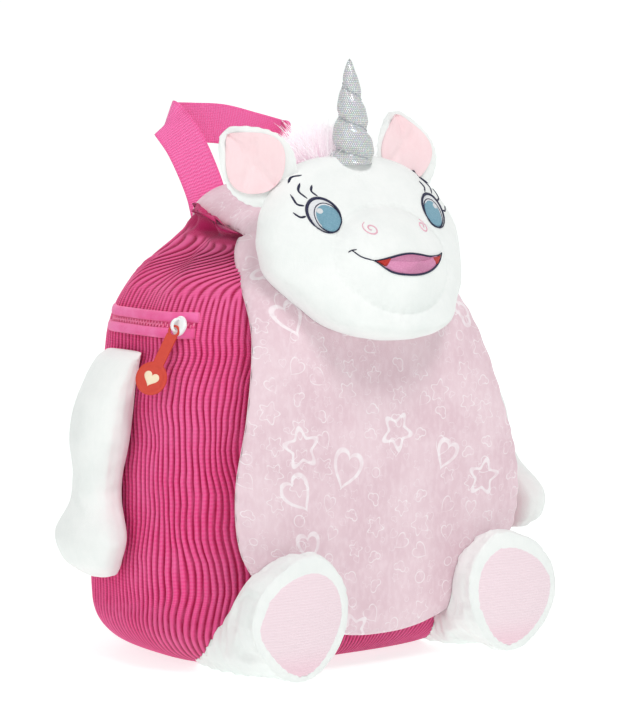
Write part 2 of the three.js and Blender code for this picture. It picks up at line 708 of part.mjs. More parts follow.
// A band along the zip, above or below its middle line, standing out from the sack's right side.
function zipBand(middle, height, thickness, lift) {
  const stations = Array.from({ length: ZIP.steps / 2 + 1 }, (_, i) => {
    const y = SACK.shift - ZIP.forward + ZIP.length * (0.5 - (2 * i) / ZIP.steps);
    const z = ZIP.up * SACK.height + middle;
    return { x: -sackSide(y, z) - lift, y, z, acrossX: ZIP.slope, acrossY: 0, acrossZ: 1, width: height, thickness };
  });
  return ribbon(stations, ZIP.steps, 2);
}

const zipMiddle = SACK.shift - ZIP.forward - ZIP.length * (SLIDER.place - 0.5);
const sliderPlace = new THREE.Matrix4()
  .makeRotationY(Math.atan(ZIP.slope))
  .setPosition(-sackSide(zipMiddle, ZIP.up * SACK.height) - SLIDER.standOff, zipMiddle, ZIP.up * SACK.height);

// The slider's body, with an upright wire arch on its face. Its face looks along -X.
function zipSlider() {
  const body = new THREE.CylinderGeometry(SLIDER.width / 2, SLIDER.width / 2, SLIDER.thickness, 16);
  body.rotateZ(Math.PI / 2).scale(1, SLIDER.length / SLIDER.width, 1);
  const ring = new THREE.TorusGeometry(SLIDER.arch, SLIDER.wire, 6, 16).rotateX(Math.PI / 2);
  const arch = solidFrom(ring.translate(-SLIDER.thickness / 2, 0, 0)).trimByPlane([-1, 0, 0], 0);
  return geometryFrom(solidFrom(body).add(arch)).applyMatrix4(sliderPlace);
}

// The puller: a bail that hangs on the arch, a narrow neck and a round tag.
function zipPull() {
  const neck = wasm.CrossSection.square([PULL.neck, PULL.length]).translate([-PULL.neck / 2, 0]);
  const tag = wasm.CrossSection.circle(PULL.disc / 2, 28).translate([0, PULL.length]);
  const top = wasm.CrossSection.circle(PULL.neck / 2, 16);
  const hole = wasm.CrossSection.circle(PULL.hole, 12);
  const flat = neck.add(tag).add(top).subtract(hole).extrude(PULL.thickness);
  return geometryFrom(flat)
    .rotateX(-Math.PI / 2)
    .rotateZ(Math.PI / 2)
    .rotateX(THREE.MathUtils.degToRad(PULL.lean))
    .translate(-SLIDER.thickness / 2 - PULL.clear, 0, -SLIDER.arch)
    .applyMatrix4(sliderPlace);
}

// Assembly

piece("sack", sackShell(), fabric.corduroy);
const sackTool = sackLump();
seat(piece("front_flap", flapPanel(), fabric.panelPink), sackTool);
const flapTool = solidFrom(flapPanel(2 * CLEARANCE));
const headTool = solidFrom(headSkin(CLEARANCE));
seat(piece("head", headSkin(), fabric.plushWhite), sackTool, flapTool);

for (const ear of EARS) {
  const leaf = piece(`ear_${ear.name}`, earLeaf(), fabric.plushWhite);
  const lining = piece(`ear_lining_${ear.name}`, earLining(), fabric.liningPink);
  placeEar(leaf, ear);
  placeEar(lining, ear);
  seat(leaf, headTool, flapTool);
  seat(lining, headTool, flapTool);
}

const horn = piece("horn", hornCone(), fabric.silver);
horn.position.set(0, HORN.behind - faceForward, HEAD.chinZ + HEAD.height - HORN.sink);
horn.rotation.x = THREE.MathUtils.degToRad(HORN.lean);
seat(horn, headTool);
seat(piece("mane", maneTuft(), fabric.furPink), headTool, flapTool, sackTool);

const SIDES = [
  { name: "right", side: -1, swing: ARM.swingRight },
  { name: "left", side: 1, swing: ARM.swingLeft },
];
for (const { name, side, swing } of SIDES) {
  const eye = facePatch({ ...EYE, across: side * EYE.across });
  seat(piece(`eye_${name}`, eye, fabric.eyeBlue), headTool);
  seat(piece(`arm_${name}`, arm(side, swing), fabric.plushWhite), sackTool, flapTool);
  seat(piece(`leg_${name}`, leg(side), fabric.plushWhite), sackTool, flapTool);
  piece(`sole_${name}`, sole(side), fabric.panelPink);
  seat(piece(`shoulder_strap_${name}`, ribbon(strapStations(side), STRAP.steps), fabric.webbing), sackTool);
  piece(`strap_adjuster_${name}`, strapAdjuster(side), fabric.plasticPink);
}
seat(piece("mouth", facePatch(MOUTH), fabric.mouthPink), headTool);
seat(piece("carry_handle", carryHandle(), fabric.webbing), sackTool, flapTool);

const weltMiddle = (ZIP.gap + ZIP.weltHeight) / 2;
for (const [name, middle] of [["upper", weltMiddle], ["lower", -weltMiddle]]) {
  const welt = zipBand(middle, ZIP.weltHeight, ZIP.weltThickness, ZIP.weltThickness / 2);
  seat(piece(`zip_welt_${name}`, welt, fabric.zipPink), sackTool);
}
const coil = zipBand(0, ZIP.gap - 2 * CLEARANCE, ZIP.coilThickness, ZIP.coilThickness / 2);
seat(piece("zip_coil", coil, fabric.zipPink), sackTool);
piece("zip_slider", zipSlider(), fabric.plasticWhite);
piece("zip_pull", zipPull(), fabric.pullRed);

// The middle of the footprint goes to the origin, with the lowest point on the ground.
const bounds = new THREE.Box3().setFromObject(backpack, true);
const middle = bounds.getCenter(new THREE.Vector3());
backpack.position.set(-middle.x, -middle.y, -bounds.min.z);
backpack.updateMatrixWorld(true);

export default backpack;
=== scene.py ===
# %% [markdown]
# # A plush unicorn backpack
#
# This notebook dresses a small drawstring rucksack for a child. The real one is sewn from jumbo corduroy,
# brushed plush and webbing, and its flap carries a stuffed unicorn head. The solids are a fixed frame that
# is already at its real size, so every soft piece here is grown over one of them.
#
# The first cell loads the frame and keeps the box of its sack.

# %% The frame
import json
import math
import random

import bmesh
import bpy
from mathutils import Matrix, Vector, noise
from mathutils.bvhtree import BVHTree

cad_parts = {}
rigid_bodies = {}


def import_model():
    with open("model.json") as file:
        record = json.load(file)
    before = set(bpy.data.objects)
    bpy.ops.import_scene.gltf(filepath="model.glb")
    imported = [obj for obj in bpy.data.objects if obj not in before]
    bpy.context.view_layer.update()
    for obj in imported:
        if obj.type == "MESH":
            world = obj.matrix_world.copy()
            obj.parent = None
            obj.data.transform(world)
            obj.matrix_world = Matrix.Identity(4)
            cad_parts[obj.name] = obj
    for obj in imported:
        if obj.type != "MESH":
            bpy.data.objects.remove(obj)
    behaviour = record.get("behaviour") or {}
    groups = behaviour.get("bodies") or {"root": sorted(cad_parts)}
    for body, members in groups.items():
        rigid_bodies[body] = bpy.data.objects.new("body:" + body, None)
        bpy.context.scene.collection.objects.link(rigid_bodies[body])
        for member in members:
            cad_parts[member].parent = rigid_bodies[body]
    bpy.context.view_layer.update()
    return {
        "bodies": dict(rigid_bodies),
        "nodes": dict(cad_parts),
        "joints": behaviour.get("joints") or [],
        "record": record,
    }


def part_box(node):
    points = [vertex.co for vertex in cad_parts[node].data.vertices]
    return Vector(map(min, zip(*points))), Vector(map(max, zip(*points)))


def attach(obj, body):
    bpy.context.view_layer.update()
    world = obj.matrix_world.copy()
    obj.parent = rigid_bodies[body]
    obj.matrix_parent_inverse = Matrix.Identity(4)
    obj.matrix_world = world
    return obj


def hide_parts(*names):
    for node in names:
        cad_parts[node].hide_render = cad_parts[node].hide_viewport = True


MM = 0.001
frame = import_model()
sack_low, sack_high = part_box("sack")

# %% [markdown]
# ## Where a maker's drawing meets the frame
#
# The pieces are drawn in millimetres from the point on the floor under the shoulders of the pack, and the
# sack stands 12 mm in front of it. The frame is centred by its box instead, so one offset joins the two.

# %% The drawing's origin
SACK_WIDTH, SACK_DEPTH, SACK_HEIGHT = 267, 184, 280
SACK_FORWARD = 12
FRONT, BACK = -math.pi / 2, math.pi / 2
origin = (sack_low + sack_high) / (2 * MM)
origin = Vector((origin.x, origin.y + SACK_FORWARD, 0))


def in_frame(point):
    """A drawn point in millimetres, as metres in the frame."""
    return (point + origin) * MM


# %% [markdown]
# ## The camera and the light
#
# The pack is seen from the front of its right side, from a little above, through a long lens. A long lens
# far away keeps the upright edges parallel. The studio is white all round, and three large soft lights
# give the plush its shape.

# %% Camera
CAMERA_TURN, CAMERA_RISE = math.radians(-36), math.radians(6)
CAMERA_DISTANCE = 2000
PIXELS_PER_UNIT, LONG_SIDE, SENSOR = 3000, 711, 36
aim = in_frame(Vector((20, -14.5, 190.5)))
towards_camera = Vector(
    (
        math.sin(CAMERA_TURN) * math.cos(CAMERA_RISE),
        -math.cos(CAMERA_TURN) * math.cos(CAMERA_RISE),
        math.sin(CAMERA_RISE),
    )
)
camera = bpy.data.objects.new("camera", bpy.data.cameras.new("camera"))
camera.data.sensor_width = SENSOR
camera.data.lens = PIXELS_PER_UNIT / LONG_SIDE * SENSOR
camera.data.clip_end = 50
camera.location = aim + towards_camera * CAMERA_DISTANCE * MM
camera.rotation_euler = towards_camera.to_track_quat("Z", "Y").to_euler()
bpy.context.collection.objects.link(camera)
bpy.context.scene.camera = camera
bpy.context.scene.view_settings.view_transform = "Standard"
print("lens", round(camera.data.lens), "mm")


# %% Lights
def area_light(name, place, size, power, tint=(1, 1, 1)):
    """A square soft light that looks at the middle of the pack."""
    lamp = bpy.data.objects.new(name, bpy.data.lights.new(name, "AREA"))
    lamp.data.size = size
    lamp.data.energy = power
    lamp.data.color = tint
    lamp.location = place
    lamp.rotation_euler = (Vector(place) - aim).to_track_quat("Z", "Y").to_euler()
    bpy.context.collection.objects.link(lamp)


area_light("key", (-0.1, -1.3, 2.2), 0.8, 21)
area_light("fill", (-1.7, -0.7, 1.1), 1.2, 5)
area_light("rim", (0.5, 1.5, 1.6), 1.2, 8)
world = bpy.data.worlds.new("studio")
world.use_nodes = True
world.node_tree.nodes["Background"].inputs["Color"].default_value = (1, 1, 1, 1)
world.node_tree.nodes["Background"].inputs["Strength"].default_value = 0.52
bpy.context.scene.world = world
print(len(bpy.data.lights), "soft lights and a white world")

# %% [markdown]
# ## Shader sums written as Python
#
# A cloth needs a dozen small sums: where in a stripe a point lies, how worn it is, how deep the weave is.
# Each would be a Math node. The class below wraps a socket, so that a sum is typed as a sum and adds its
# own nodes. A second class holds one material and adds every other node.


# %% The two shader classes
class Number:
    """A socket that holds a number and can be used in a sum."""

    def __init__(self, look, socket):
        self.look = look
        self.socket = socket

    def __add__(self, other):
        return self.look.math("ADD", self, other)

    def __sub__(self, other):
        return self.look.math("SUBTRACT", self, other)

    def __rsub__(self, other):
        return self.look.math("SUBTRACT", other, self)

    def __mul__(self, other):
        return self.look.math("MULTIPLY", self, other)

    def __lt__(self, other):
        return self.look.math("LESS_THAN", self, other)

    __radd__ = __add__
    __rmul__ = __mul__

    def step(self, low, high):
        """0 below low, 1 above high and smooth between them."""
        return self.look.node(
            "ShaderNodeMapRange",
            {"interpolation_type": "SMOOTHSTEP"},
            **{"Value": self, "From Min": low, "From Max": high},
        )


class Look:
    """One material, with short ways to add its nodes."""

    def __init__(self, name, **shader):
        self.material = bpy.data.materials.new(name)
        self.material.use_nodes = True
        self.tree = self.material.node_tree
        self.shader = self.tree.nodes["Principled BSDF"]
        for socket, value in shader.items():
            self.feed(self.shader.inputs[socket.replace("_", " ")], value)

    def feed(self, socket, value):
        if isinstance(value, Number):
            self.tree.links.new(value.socket, socket)
        elif hasattr(value, "__len__") and len(value) == 3 and socket.type == "RGBA":
            socket.default_value = (*value, 1)
        else:
            socket.default_value = value

    def node(self, kind, settings=None, output=0, **values):
        """Adds a node: its settings first, then the values or links of its sockets."""
        made = self.tree.nodes.new(kind)
        for name, value in (settings or {}).items():
            setattr(made, name, value)
        for name, value in values.items():
            self.feed(made.inputs[name], value)
        return Number(self, made.outputs[output])

    def math(self, operation, *values):
        made = self.tree.nodes.new("ShaderNodeMath")
        made.operation = operation
        for socket, value in zip(made.inputs, values):
            self.feed(socket, value)
        return Number(self, made.outputs[0])

    def split(self, vector):
        made = self.tree.nodes.new("ShaderNodeSeparateXYZ")
        self.feed(made.inputs[0], vector)
        return [Number(self, out) for out in made.outputs]

    def joined(self, x, y, z=0):
        return self.node("ShaderNodeCombineXYZ", X=x, Y=y, Z=z)

    def coordinates(self, kind):
        return self.node("ShaderNodeTexCoord", output=kind)

    def stretched(self, vector, scale):
        return self.node("ShaderNodeMapping", **{"Vector": vector, "Scale": scale})

    def noise(self, vector, scale, detail=2.0, output=0):
        return self.node("ShaderNodeTexNoise", output=output, Vector=vector, Scale=scale, Detail=detail)

    def dice(self, column, row, output=0):
        """A random number for each cell of a grid, or with output 1 a random colour."""
        settings = {"noise_dimensions": "2D"}
        return self.node("ShaderNodeTexWhiteNoise", settings, output, Vector=self.joined(column, row))

    def mix(self, share, first, second):
        """One colour where share is 0 and the other where it is 1."""
        made = self.tree.nodes.new("ShaderNodeMix")
        made.data_type = "RGBA"
        for number, value in ((0, share), (6, first), (7, second)):
            self.feed(made.inputs[number], value)
        return Number(self, made.outputs[2])

    def bump(self, height, depth, strength=1.0):
        """Presses a height from 0 to 1 into the surface, depth in millimetres."""
        return self.node("ShaderNodeBump", Height=height, Distance=depth * MM, Strength=strength)

    def paint(self, **sockets):
        for name, value in sockets.items():
            self.feed(self.shader.inputs[name.replace("_", " ")], value)
        return self.material


# %% [markdown]
# ## The stage
#
# A photographer's white sheet is floor and wall in one, with a wide bend between them and no edge to see.
# It glows a little by itself, because a sheet that is only lit turns grey far from the lamps.


# %% The stage
def bare_grid(columns, rows):
    """A flat grid of unit cells from 0 to 1 each way, with a UV map that keeps its flat layout."""
    mesh = bmesh.new()
    mesh.loops.layers.uv.new("UVMap")
    bmesh.ops.create_grid(mesh, x_segments=columns, y_segments=rows, size=0.5, calc_uvs=True)
    bmesh.ops.translate(mesh, verts=mesh.verts, vec=(0.5, 0.5, 0))
    return mesh


def linked_object(name, mesh_data, smooth=True):
    data = bpy.data.meshes.new(name)
    mesh_data.to_mesh(data)
    mesh_data.free()
    if smooth:
        data.shade_smooth()
    made = bpy.data.objects.new(name, data)
    bpy.context.collection.objects.link(made)
    return made


STAGE_FRONT, STAGE_FLAT, STAGE_BEND, STAGE_RUN, STAGE_WIDTH = -4.6, 8.0, 0.9, 11.5, 10


def cyclorama(share):
    """A point of the stage's profile: level floor, a wide bend, and a wall behind."""
    run, arc = share * STAGE_RUN, STAGE_BEND * math.pi / 2
    back = STAGE_FRONT + STAGE_FLAT
    if run < STAGE_FLAT:
        return STAGE_FRONT + run, 0
    if run < STAGE_FLAT + arc:
        angle = (run - STAGE_FLAT) / STAGE_BEND
        return back + STAGE_BEND * math.sin(angle), STAGE_BEND * (1 - math.cos(angle))
    return back + STAGE_BEND, STAGE_BEND + run - STAGE_FLAT - arc


stage_mesh = bare_grid(8, 90)
for vert in stage_mesh.verts:
    side, (back, up) = vert.co.x - 0.5, cyclorama(vert.co.y)
    vert.co = (Matrix.Rotation(CAMERA_TURN, 3, "Z") @ Vector((STAGE_WIDTH * side, back, up)))
stage = linked_object("studio_floor", stage_mesh)
stage_look = Look("studio_white", Base_Color=(0.42, 0.45, 0.435), Roughness=0.75, Specular_IOR_Level=0.2)
stage_look.paint(Emission_Color=(0.97, 1.0, 0.99), Emission_Strength=0.74)
stage.data.materials.append(stage_look.material)
print("the stage is", STAGE_WIDTH, "m wide")

# %% [markdown]
# ## Reading the maker's tables
#
# The real pack is cut from paper patterns, and a pattern is a short table of widths at a few heights. The
# helpers below read such a table smoothly, and bend a flat grid into a closed skin. Two sides of the grid
# that meet are merged, and a side that shrinks to a point becomes a pole.


# %% Smooth tables and skins
def read_table(rows, place):
    """The columns of a table at a fractional row number, on a smooth curve through its rows."""
    last = len(rows) - 1
    place = min(max(place, 0.0), float(last))
    first = min(int(place), last - 1)
    t = place - first

    def row(number):
        if number < 0:
            return [2 * a - b for a, b in zip(rows[0], rows[1])]
        if number > last:
            return [2 * a - b for a, b in zip(rows[last], rows[last - 1])]
        return rows[number]

    found = []
    for a, b, c, d in zip(row(first - 1), row(first), row(first + 1), row(first + 2)):
        bend = (2 * a - 5 * b + 4 * c - d) * t * t + (3 * b - a - 3 * c + d) * t**3
        found.append(b + 0.5 * ((c - a) * t + bend))
    return found


def row_where(rows, height):
    """The fractional row number at which the first column reaches a height."""
    low, high = 0.0, len(rows) - 1.0
    for _ in range(30):
        middle = (low + high) / 2
        low, high = (middle, high) if read_table(rows, middle)[0] < height else (low, middle)
    return low


def squared(value, power=0.5):
    """A sine or a cosine with its ends spread, which makes a round section squarer."""
    return math.copysign(abs(value) ** power, value)


def bulge(across, power, side=1):
    """How far a section stands out at a share across it, to the side that the sign gives."""
    return math.copysign(max(1 - abs(across) ** power, 0) ** (1 / power), side)


def smooth_step(value, low, high):
    share = min(max((value - low) / (high - low), 0.0), 1.0)
    return share * share * (3 - 2 * share)


def skin(name, columns, rows, place, pattern=None):
    """A grid bent by place(u, v) into a closed skin, in the frame's metres.

    pattern(u, v) gives the place on the flat cloth in millimetres, where the plain grid is no good map.
    """
    mesh = bare_grid(columns, rows)
    if pattern:
        layer = mesh.loops.layers.uv.active
        for face in mesh.faces:
            for loop in face.loops:
                loop[layer].uv = Vector(pattern(loop.vert.co.x, loop.vert.co.y)) * MM
    for vert in mesh.verts:
        vert.co = in_frame(place(vert.co.x, vert.co.y))
    bmesh.ops.remove_doubles(mesh, verts=mesh.verts, dist=0.01 * MM)
    bmesh.ops.dissolve_degenerate(mesh, edges=mesh.edges, dist=0.005 * MM)
    bmesh.ops.recalc_face_normals(mesh, faces=mesh.faces)
    return linked_object(name, mesh)


def dress(piece, material, slot, *nodes, fill=None):
    """Gives a piece its material and its body, and hides the solids that it stands for."""
    piece.data.materials.clear()
    piece.data.materials.append(material)
    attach(piece, "root")
    if nodes:
        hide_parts(*nodes)
    print(piece.name, len(piece.data.polygons), "faces")
    return piece


# %% [markdown]
# ## The sack's outline
#
# The sack is a rounded box at the bottom and is drawn together at the top. Its table gives, at each share
# of the height, the share of the width and of the depth, and how deep the gathers are there.

# %% Outline of the sack
CORNERING = 2.9
GATHERS, GATHER_DEPTH = 14, 7
SACK_ROWS = [
    (0.0, 0.66, 0.62, 0.0),
    (0.012, 0.77, 0.75, 0.0),
    (0.045, 0.9, 0.89, 0.1),
    (0.1, 0.985, 0.98, 0.05),
    (0.18, 1.0, 1.0, 0.0),
    (0.36, 0.99, 1.0, 0.0),
    (0.54, 0.965, 0.98, 0.0),
    (0.7, 0.93, 0.94, 0.1),
    (0.81, 0.88, 0.88, 0.3),
    (0.885, 0.79, 0.79, 0.6),
    (0.93, 0.68, 0.68, 0.9),
    (0.965, 0.57, 0.57, 1.0),
    (0.985, 0.48, 0.49, 1.0),
    (1.0, 0.5, 0.51, 0.9),
]
MOUTH_ROW = len(SACK_ROWS) - 1
MOUTH_TIP = 8
print("the sack is read from", len(SACK_ROWS), "rows")


def squared_radius(turn, half_width, half_depth, power):
    """Distance from the middle to a rounded box, at a turn round it."""
    across = abs(math.cos(turn) / half_width) ** power
    along = abs(math.sin(turn) / half_depth) ** power
    return (across + along) ** (-1 / power)


def sack_point(turn, row, out=0.0, inward=0.0):
    """A point of the sack at a turn and a row, moved outwards, with the gathers pressed in."""
    up, wide, deep, pleat = read_table(SACK_ROWS, row)
    half_width = SACK_WIDTH / 2 * wide + out
    half_depth = SACK_DEPTH / 2 * deep + out
    fold = GATHER_DEPTH * pleat * (0.5 + 0.5 * math.cos(GATHERS * turn))
    radius = squared_radius(turn, half_width, half_depth, CORNERING) - fold - inward
    back = math.sin(turn) * radius
    tip = MOUTH_TIP * max(up, 0) ** 8 * back / half_depth
    return Vector((math.cos(turn) * radius, back - SACK_FORWARD, SACK_HEIGHT * up + tip))


# %% [markdown]
# ## Jumbo corduroy
#
# Jumbo corduroy has raised cords of pile, about one every 5 mm, with a narrow bare groove between them. At
# this size the cords break the outline, so they are real ridges: four columns of cells for each cord. The
# cloth keeps its cords however it hangs. They wander with the soft dents, crowd together in each gather,
# and lean to the front near the top, where the flap pulls. Where there is no room left for all of them,
# two run together into one. Near the mouth the cords end at a plain band.

# %% The corduroy sack
WALES = 188
WALE_HEIGHT = 2.0
WALE_PROFILE = (0.0, 0.74, 1.0, 0.74)
DOUBLE, MERGE_UP = 2 * len(WALE_PROFILE), (0.84, 0.875)
SACK_COLUMNS, SACK_CELL_ROWS = WALES * len(WALE_PROFILE), 114
FLOOR_END, OUTSIDE_END, RIM_END, INSIDE_END = 0.03, 0.86, 0.88, 0.975
LINING_DEPTH, LINING_ROOM, LINING_END_ROW = 3.0, 9.0, 1.2
BAND_UP = 0.972
ZIP_MIDDLE = (-16, 227)


def soft_noise(x, y, z):
    return noise.noise(Vector((x, y, z)))


def near_zip(turn, height):
    """1 on the zip pocket on the right side, fading to 0 around it."""
    if math.cos(turn) > 0:
        return 0.0
    forward = math.sin(turn) * SACK_DEPTH / 2 - SACK_FORWARD - ZIP_MIDDLE[0]
    away = max(abs(forward) / 50, abs(height - ZIP_MIDDLE[1]) / 14)
    return 1 - smooth_step(away, 0.9, 2.4)


def corduroy_turn(turn, up):
    """Where the cord that starts at a turn has wandered to, at a share of the height."""
    high, free = smooth_step(up, 0.66, 0.97), smooth_step(up, 0.03, 0.2)
    lean = -0.24 * high * math.cos(turn)
    crowd = -0.01 * high * math.sin(GATHERS * turn)
    x, y = math.cos(turn), math.sin(turn)
    wander = 0.07 * free * soft_noise(1.5 * x, 1.5 * y, 2.6 * up)
    chevron = 0.3 * high * soft_noise(1.1 * x, 1.1 * y, 13 * up)
    ripple = 0.034 * free * soft_noise(3.4 * x, 3.4 * y, 8 * up)
    shiver = 0.011 * free * soft_noise(9 * x, 9 * y, 18 * up)
    return turn + lean + crowd + wander + chevron + ripple + shiver


def floor_disc(turn, share, row, out, up):
    """A point of the level disc that closes the bottom, at a share of the way out to the wall."""
    rim = sack_point(turn, row, out)
    return Vector((rim.x * share, (rim.y + SACK_FORWARD) * share - SACK_FORWARD, up))


def lining_point(turn, v):
    """A point of the lining, which rolls over the rim and goes down inside."""
    share = max(v - RIM_END, 0) / (INSIDE_END - RIM_END)
    roll = smooth_step(v, OUTSIDE_END, RIM_END)
    inset = LINING_DEPTH * roll + LINING_ROOM * smooth_step(share, 0, 0.12)
    point = sack_point(turn, MOUTH_ROW - share * (MOUTH_ROW - LINING_END_ROW), -inset)
    point.z = max(point.z, LINING_DEPTH + 1)
    return point


def groove_depth(column, up, is_zip):
    """How deep the cloth lies beside a cord. Near the top the cords are double."""
    merged = smooth_step(up, *MERGE_UP)
    cord = WALE_PROFILE[column % len(WALE_PROFILE)] * (1 - merged)
    cord += math.sin(math.pi * (column % DOUBLE) / DOUBLE) ** 0.8 * merged
    plain = smooth_step(up, BAND_UP - 0.008, BAND_UP) + (1 - smooth_step(up, 0.0, 0.03))
    return WALE_HEIGHT * (1 + 0.5 * merged) * (1 - cord) * (1 - min(plain, 1)) * (1 - 0.6 * is_zip)


def dent_depth(turn, drawn, up, is_zip):
    """Soft dents all over, and slanting ones where the top is bunched."""
    x, y = 2.2 * math.cos(drawn), 2.2 * math.sin(drawn)
    dents = 2.4 * (0.5 + 0.5 * soft_noise(x, y, 3.1 * up + 5))
    dents += 1.4 * abs(soft_noise(2.5 * x, 2.5 * y, 5 * up))
    bunched = smooth_step(up, 0.7, 0.84) * (1 - smooth_step(up, 0.93, 0.96))
    slant = 1.3 * drawn * (1 if math.cos(turn) < 0 else -1)
    dents += 5.5 * bunched * abs(soft_noise(1.6 * x, 1.6 * y, 11 * up + slant))
    kept = smooth_step(up, 0.02, 0.15) * (1 - 0.8 * is_zip)
    kept *= 1 - 0.9 * smooth_step(up, 0.94, 0.985)
    return dents * kept


def sack_cloth(u, v):
    """The corduroy from the middle of the floor, up the outside, over the rim and down the lining."""
    turn = 2 * math.pi * u
    if v < FLOOR_END:
        return floor_disc(turn, v / FLOOR_END, 0, 0.0, 0)
    if v > INSIDE_END:
        inside = -LINING_DEPTH - LINING_ROOM
        return floor_disc(turn, (1 - v) / (1 - INSIDE_END), LINING_END_ROW, inside, LINING_DEPTH + 1)
    if v > OUTSIDE_END:
        return lining_point(turn, v)
    row = MOUTH_ROW * (v - FLOOR_END) / (OUTSIDE_END - FLOOR_END)
    up = read_table(SACK_ROWS, row)[0]
    is_zip = near_zip(turn, up * SACK_HEIGHT)
    wandered = corduroy_turn(turn, up)
    drawn = wandered if is_zip == 0 else turn + (wandered - turn) * (1 - is_zip)
    pressed = groove_depth(round(u * SACK_COLUMNS), up, is_zip) + dent_depth(turn, drawn, up, is_zip)
    band = 1.6 * smooth_step(up, BAND_UP, BAND_UP + 0.01) * (1 - smooth_step(up, 0.985, 1))
    return sack_point(drawn, row, 0.3, pressed + band)


sack = skin("corduroy_sack", SACK_COLUMNS, SACK_CELL_ROWS, sack_cloth)

# %% [markdown]
# A cord's colour is painted light: a painted highlight along its top, where it catches the light, and
# painted shade, nearly crimson, down in the groove. Rubbed places are paler. The grid's own UV map says
# which cord a point is on, and the plain band and the lining are told apart by their height on the same
# map.


# %% Corduroy
def uv_height(up):
    """Where a share of the sack's height lies on its UV map."""
    return FLOOR_END + (OUTSIDE_END - FLOOR_END) * row_where(SACK_ROWS, up) / MOUTH_ROW


corduroy = Look("pink_corduroy", Roughness=0.82, Sheen_Weight=0.35, Sheen_Roughness=0.45)
corduroy.paint(Sheen_Tint=(1.0, 0.62, 0.8), Specular_IOR_Level=0.25)
object_place = corduroy.coordinates("Object")
flat_u, flat_v, _ = corduroy.split(corduroy.coordinates("UV"))
single = 1 - corduroy.math("ABSOLUTE", corduroy.math("FRACT", flat_u * WALES) * 2 - 1)
double = 1 - corduroy.math("ABSOLUTE", corduroy.math("FRACT", flat_u * (WALES / 2)) * 2 - 1)
merged = flat_v.step(*[uv_height(up) for up in MERGE_UP])
cord = (single * (1 - merged) + double * merged).step(0.08, 0.8)
is_plain = flat_v.step(uv_height(BAND_UP - 0.004), uv_height(BAND_UP + 0.004))
fuzz = corduroy.noise(object_place, 1400, 3)
streaks = corduroy.noise(corduroy.joined(flat_u * 620, flat_v * 40), 1, 3)
rubbed = corduroy.noise(object_place, 16, 3).step(0.42, 0.72)
# Painted light: the groove colour is painted shade and the ridge colour a painted highlight, chosen by the
# cord's profile.
pile_and_painted_light = corduroy.mix(cord, (0.42, 0.002, 0.06), (0.92, 0.065, 0.27))
pile_and_painted_light = corduroy.mix(rubbed * cord * 0.4, pile_and_painted_light, (0.96, 0.2, 0.46))
pile_and_painted_light = corduroy.mix(streaks.step(0.35, 0.75) * 0.25, pile_and_painted_light, (0.96, 0.2, 0.46))
# The plain band and the lining are a plain cloth, painted darker as shade, for the shadow under the flap
# and inside the mouth.
plain_cloth_and_painted_shade = corduroy.mix(fuzz, (0.5, 0.008, 0.1), (0.62, 0.02, 0.16))
ribs = corduroy.math("SINE", flat_v * 1900) * 0.5 + 0.5
pile_and_painted_light = corduroy.mix(ribs * cord * 0.14, pile_and_painted_light, (0.97, 0.3, 0.56))
relief = corduroy.bump(fuzz * 0.6 + streaks * 0.5 + ribs * 0.5, 0.5)
corduroy.paint(Base_Color=corduroy.mix(is_plain, pile_and_painted_light, plain_cloth_and_painted_shade), Normal=relief)
dress(sack, corduroy.material, "corduroy", "sack", fill=0.55)

# %% [markdown]
# ## The front flap
#
# The flap is one long padded panel. It is sewn to the back of the mouth, folds over it, and hangs down the
# front, growing from a narrow neck to a wide round belly. Its middle line is a smooth curve through a few
# points on the sack, and a section that is fat in the middle and thin at the seam is swept along it.


# %% The flap's middle line
class MiddleLine:
    """A smooth curve in the pack's middle plane, measured along its length."""

    def __init__(self, points, steps=24):
        ends = [2 * points[0] - points[1], *points, 2 * points[-1] - points[-2]]
        self.points = []
        for four in zip(ends, ends[1:], ends[2:], ends[3:]):
            self.points += [self.between(four, step / steps) for step in range(steps)]
        self.points.append(points[-1])
        self.lengths = [0.0]
        for one, other in zip(self.points, self.points[1:]):
            self.lengths.append(self.lengths[-1] + (other - one).length)

    @staticmethod
    def between(four, share):
        """A point between the two middle ones of four, with knots at the root of their distances."""
        knots = [0.0]
        for one, other in zip(four, four[1:]):
            knots.append(knots[-1] + math.sqrt((other - one).length))
        here = knots[1] + share * (knots[2] - knots[1])

        def mixed(points, reach):
            spans = zip(points, points[1:], knots, knots[reach:])
            return [one.lerp(other, (here - start) / (end - start)) for one, other, start, end in spans]

        pairs = mixed(mixed(four, 1), 2)
        return pairs[0].lerp(pairs[1], share)

    def at(self, share):
        """The place and the heading at a share of the length."""
        target = min(max(share, 0.0), 1.0) * self.lengths[-1]
        low, high = 0, len(self.lengths) - 1
        while high - low > 1:
            middle = (low + high) // 2
            low, high = (middle, high) if self.lengths[middle] <= target else (low, middle)
        one, other = self.points[low], self.points[high]
        t = (target - self.lengths[low]) / (self.lengths[high] - self.lengths[low])
        return one.lerp(other, t), (other - one).normalized()


FLAP_WIDTH, FLAP_THICKNESS, FLAP_STAND_OFF = 224, 15, 2.5
FLAP_BOTTOM_RISE, FLAP_BOTTOM_UP, FLAP_OVER_MOUTH = 40, 0.075, 8
FLAP_ROWS = [
    (0.4, 11),
    (0.45, 14),
    (0.54, 17),
    (0.7, 20),
    (0.8, 7),
    (0.905, 1),
    (1.0, 0),
    (0.98, 0),
    (0.84, 0),
]


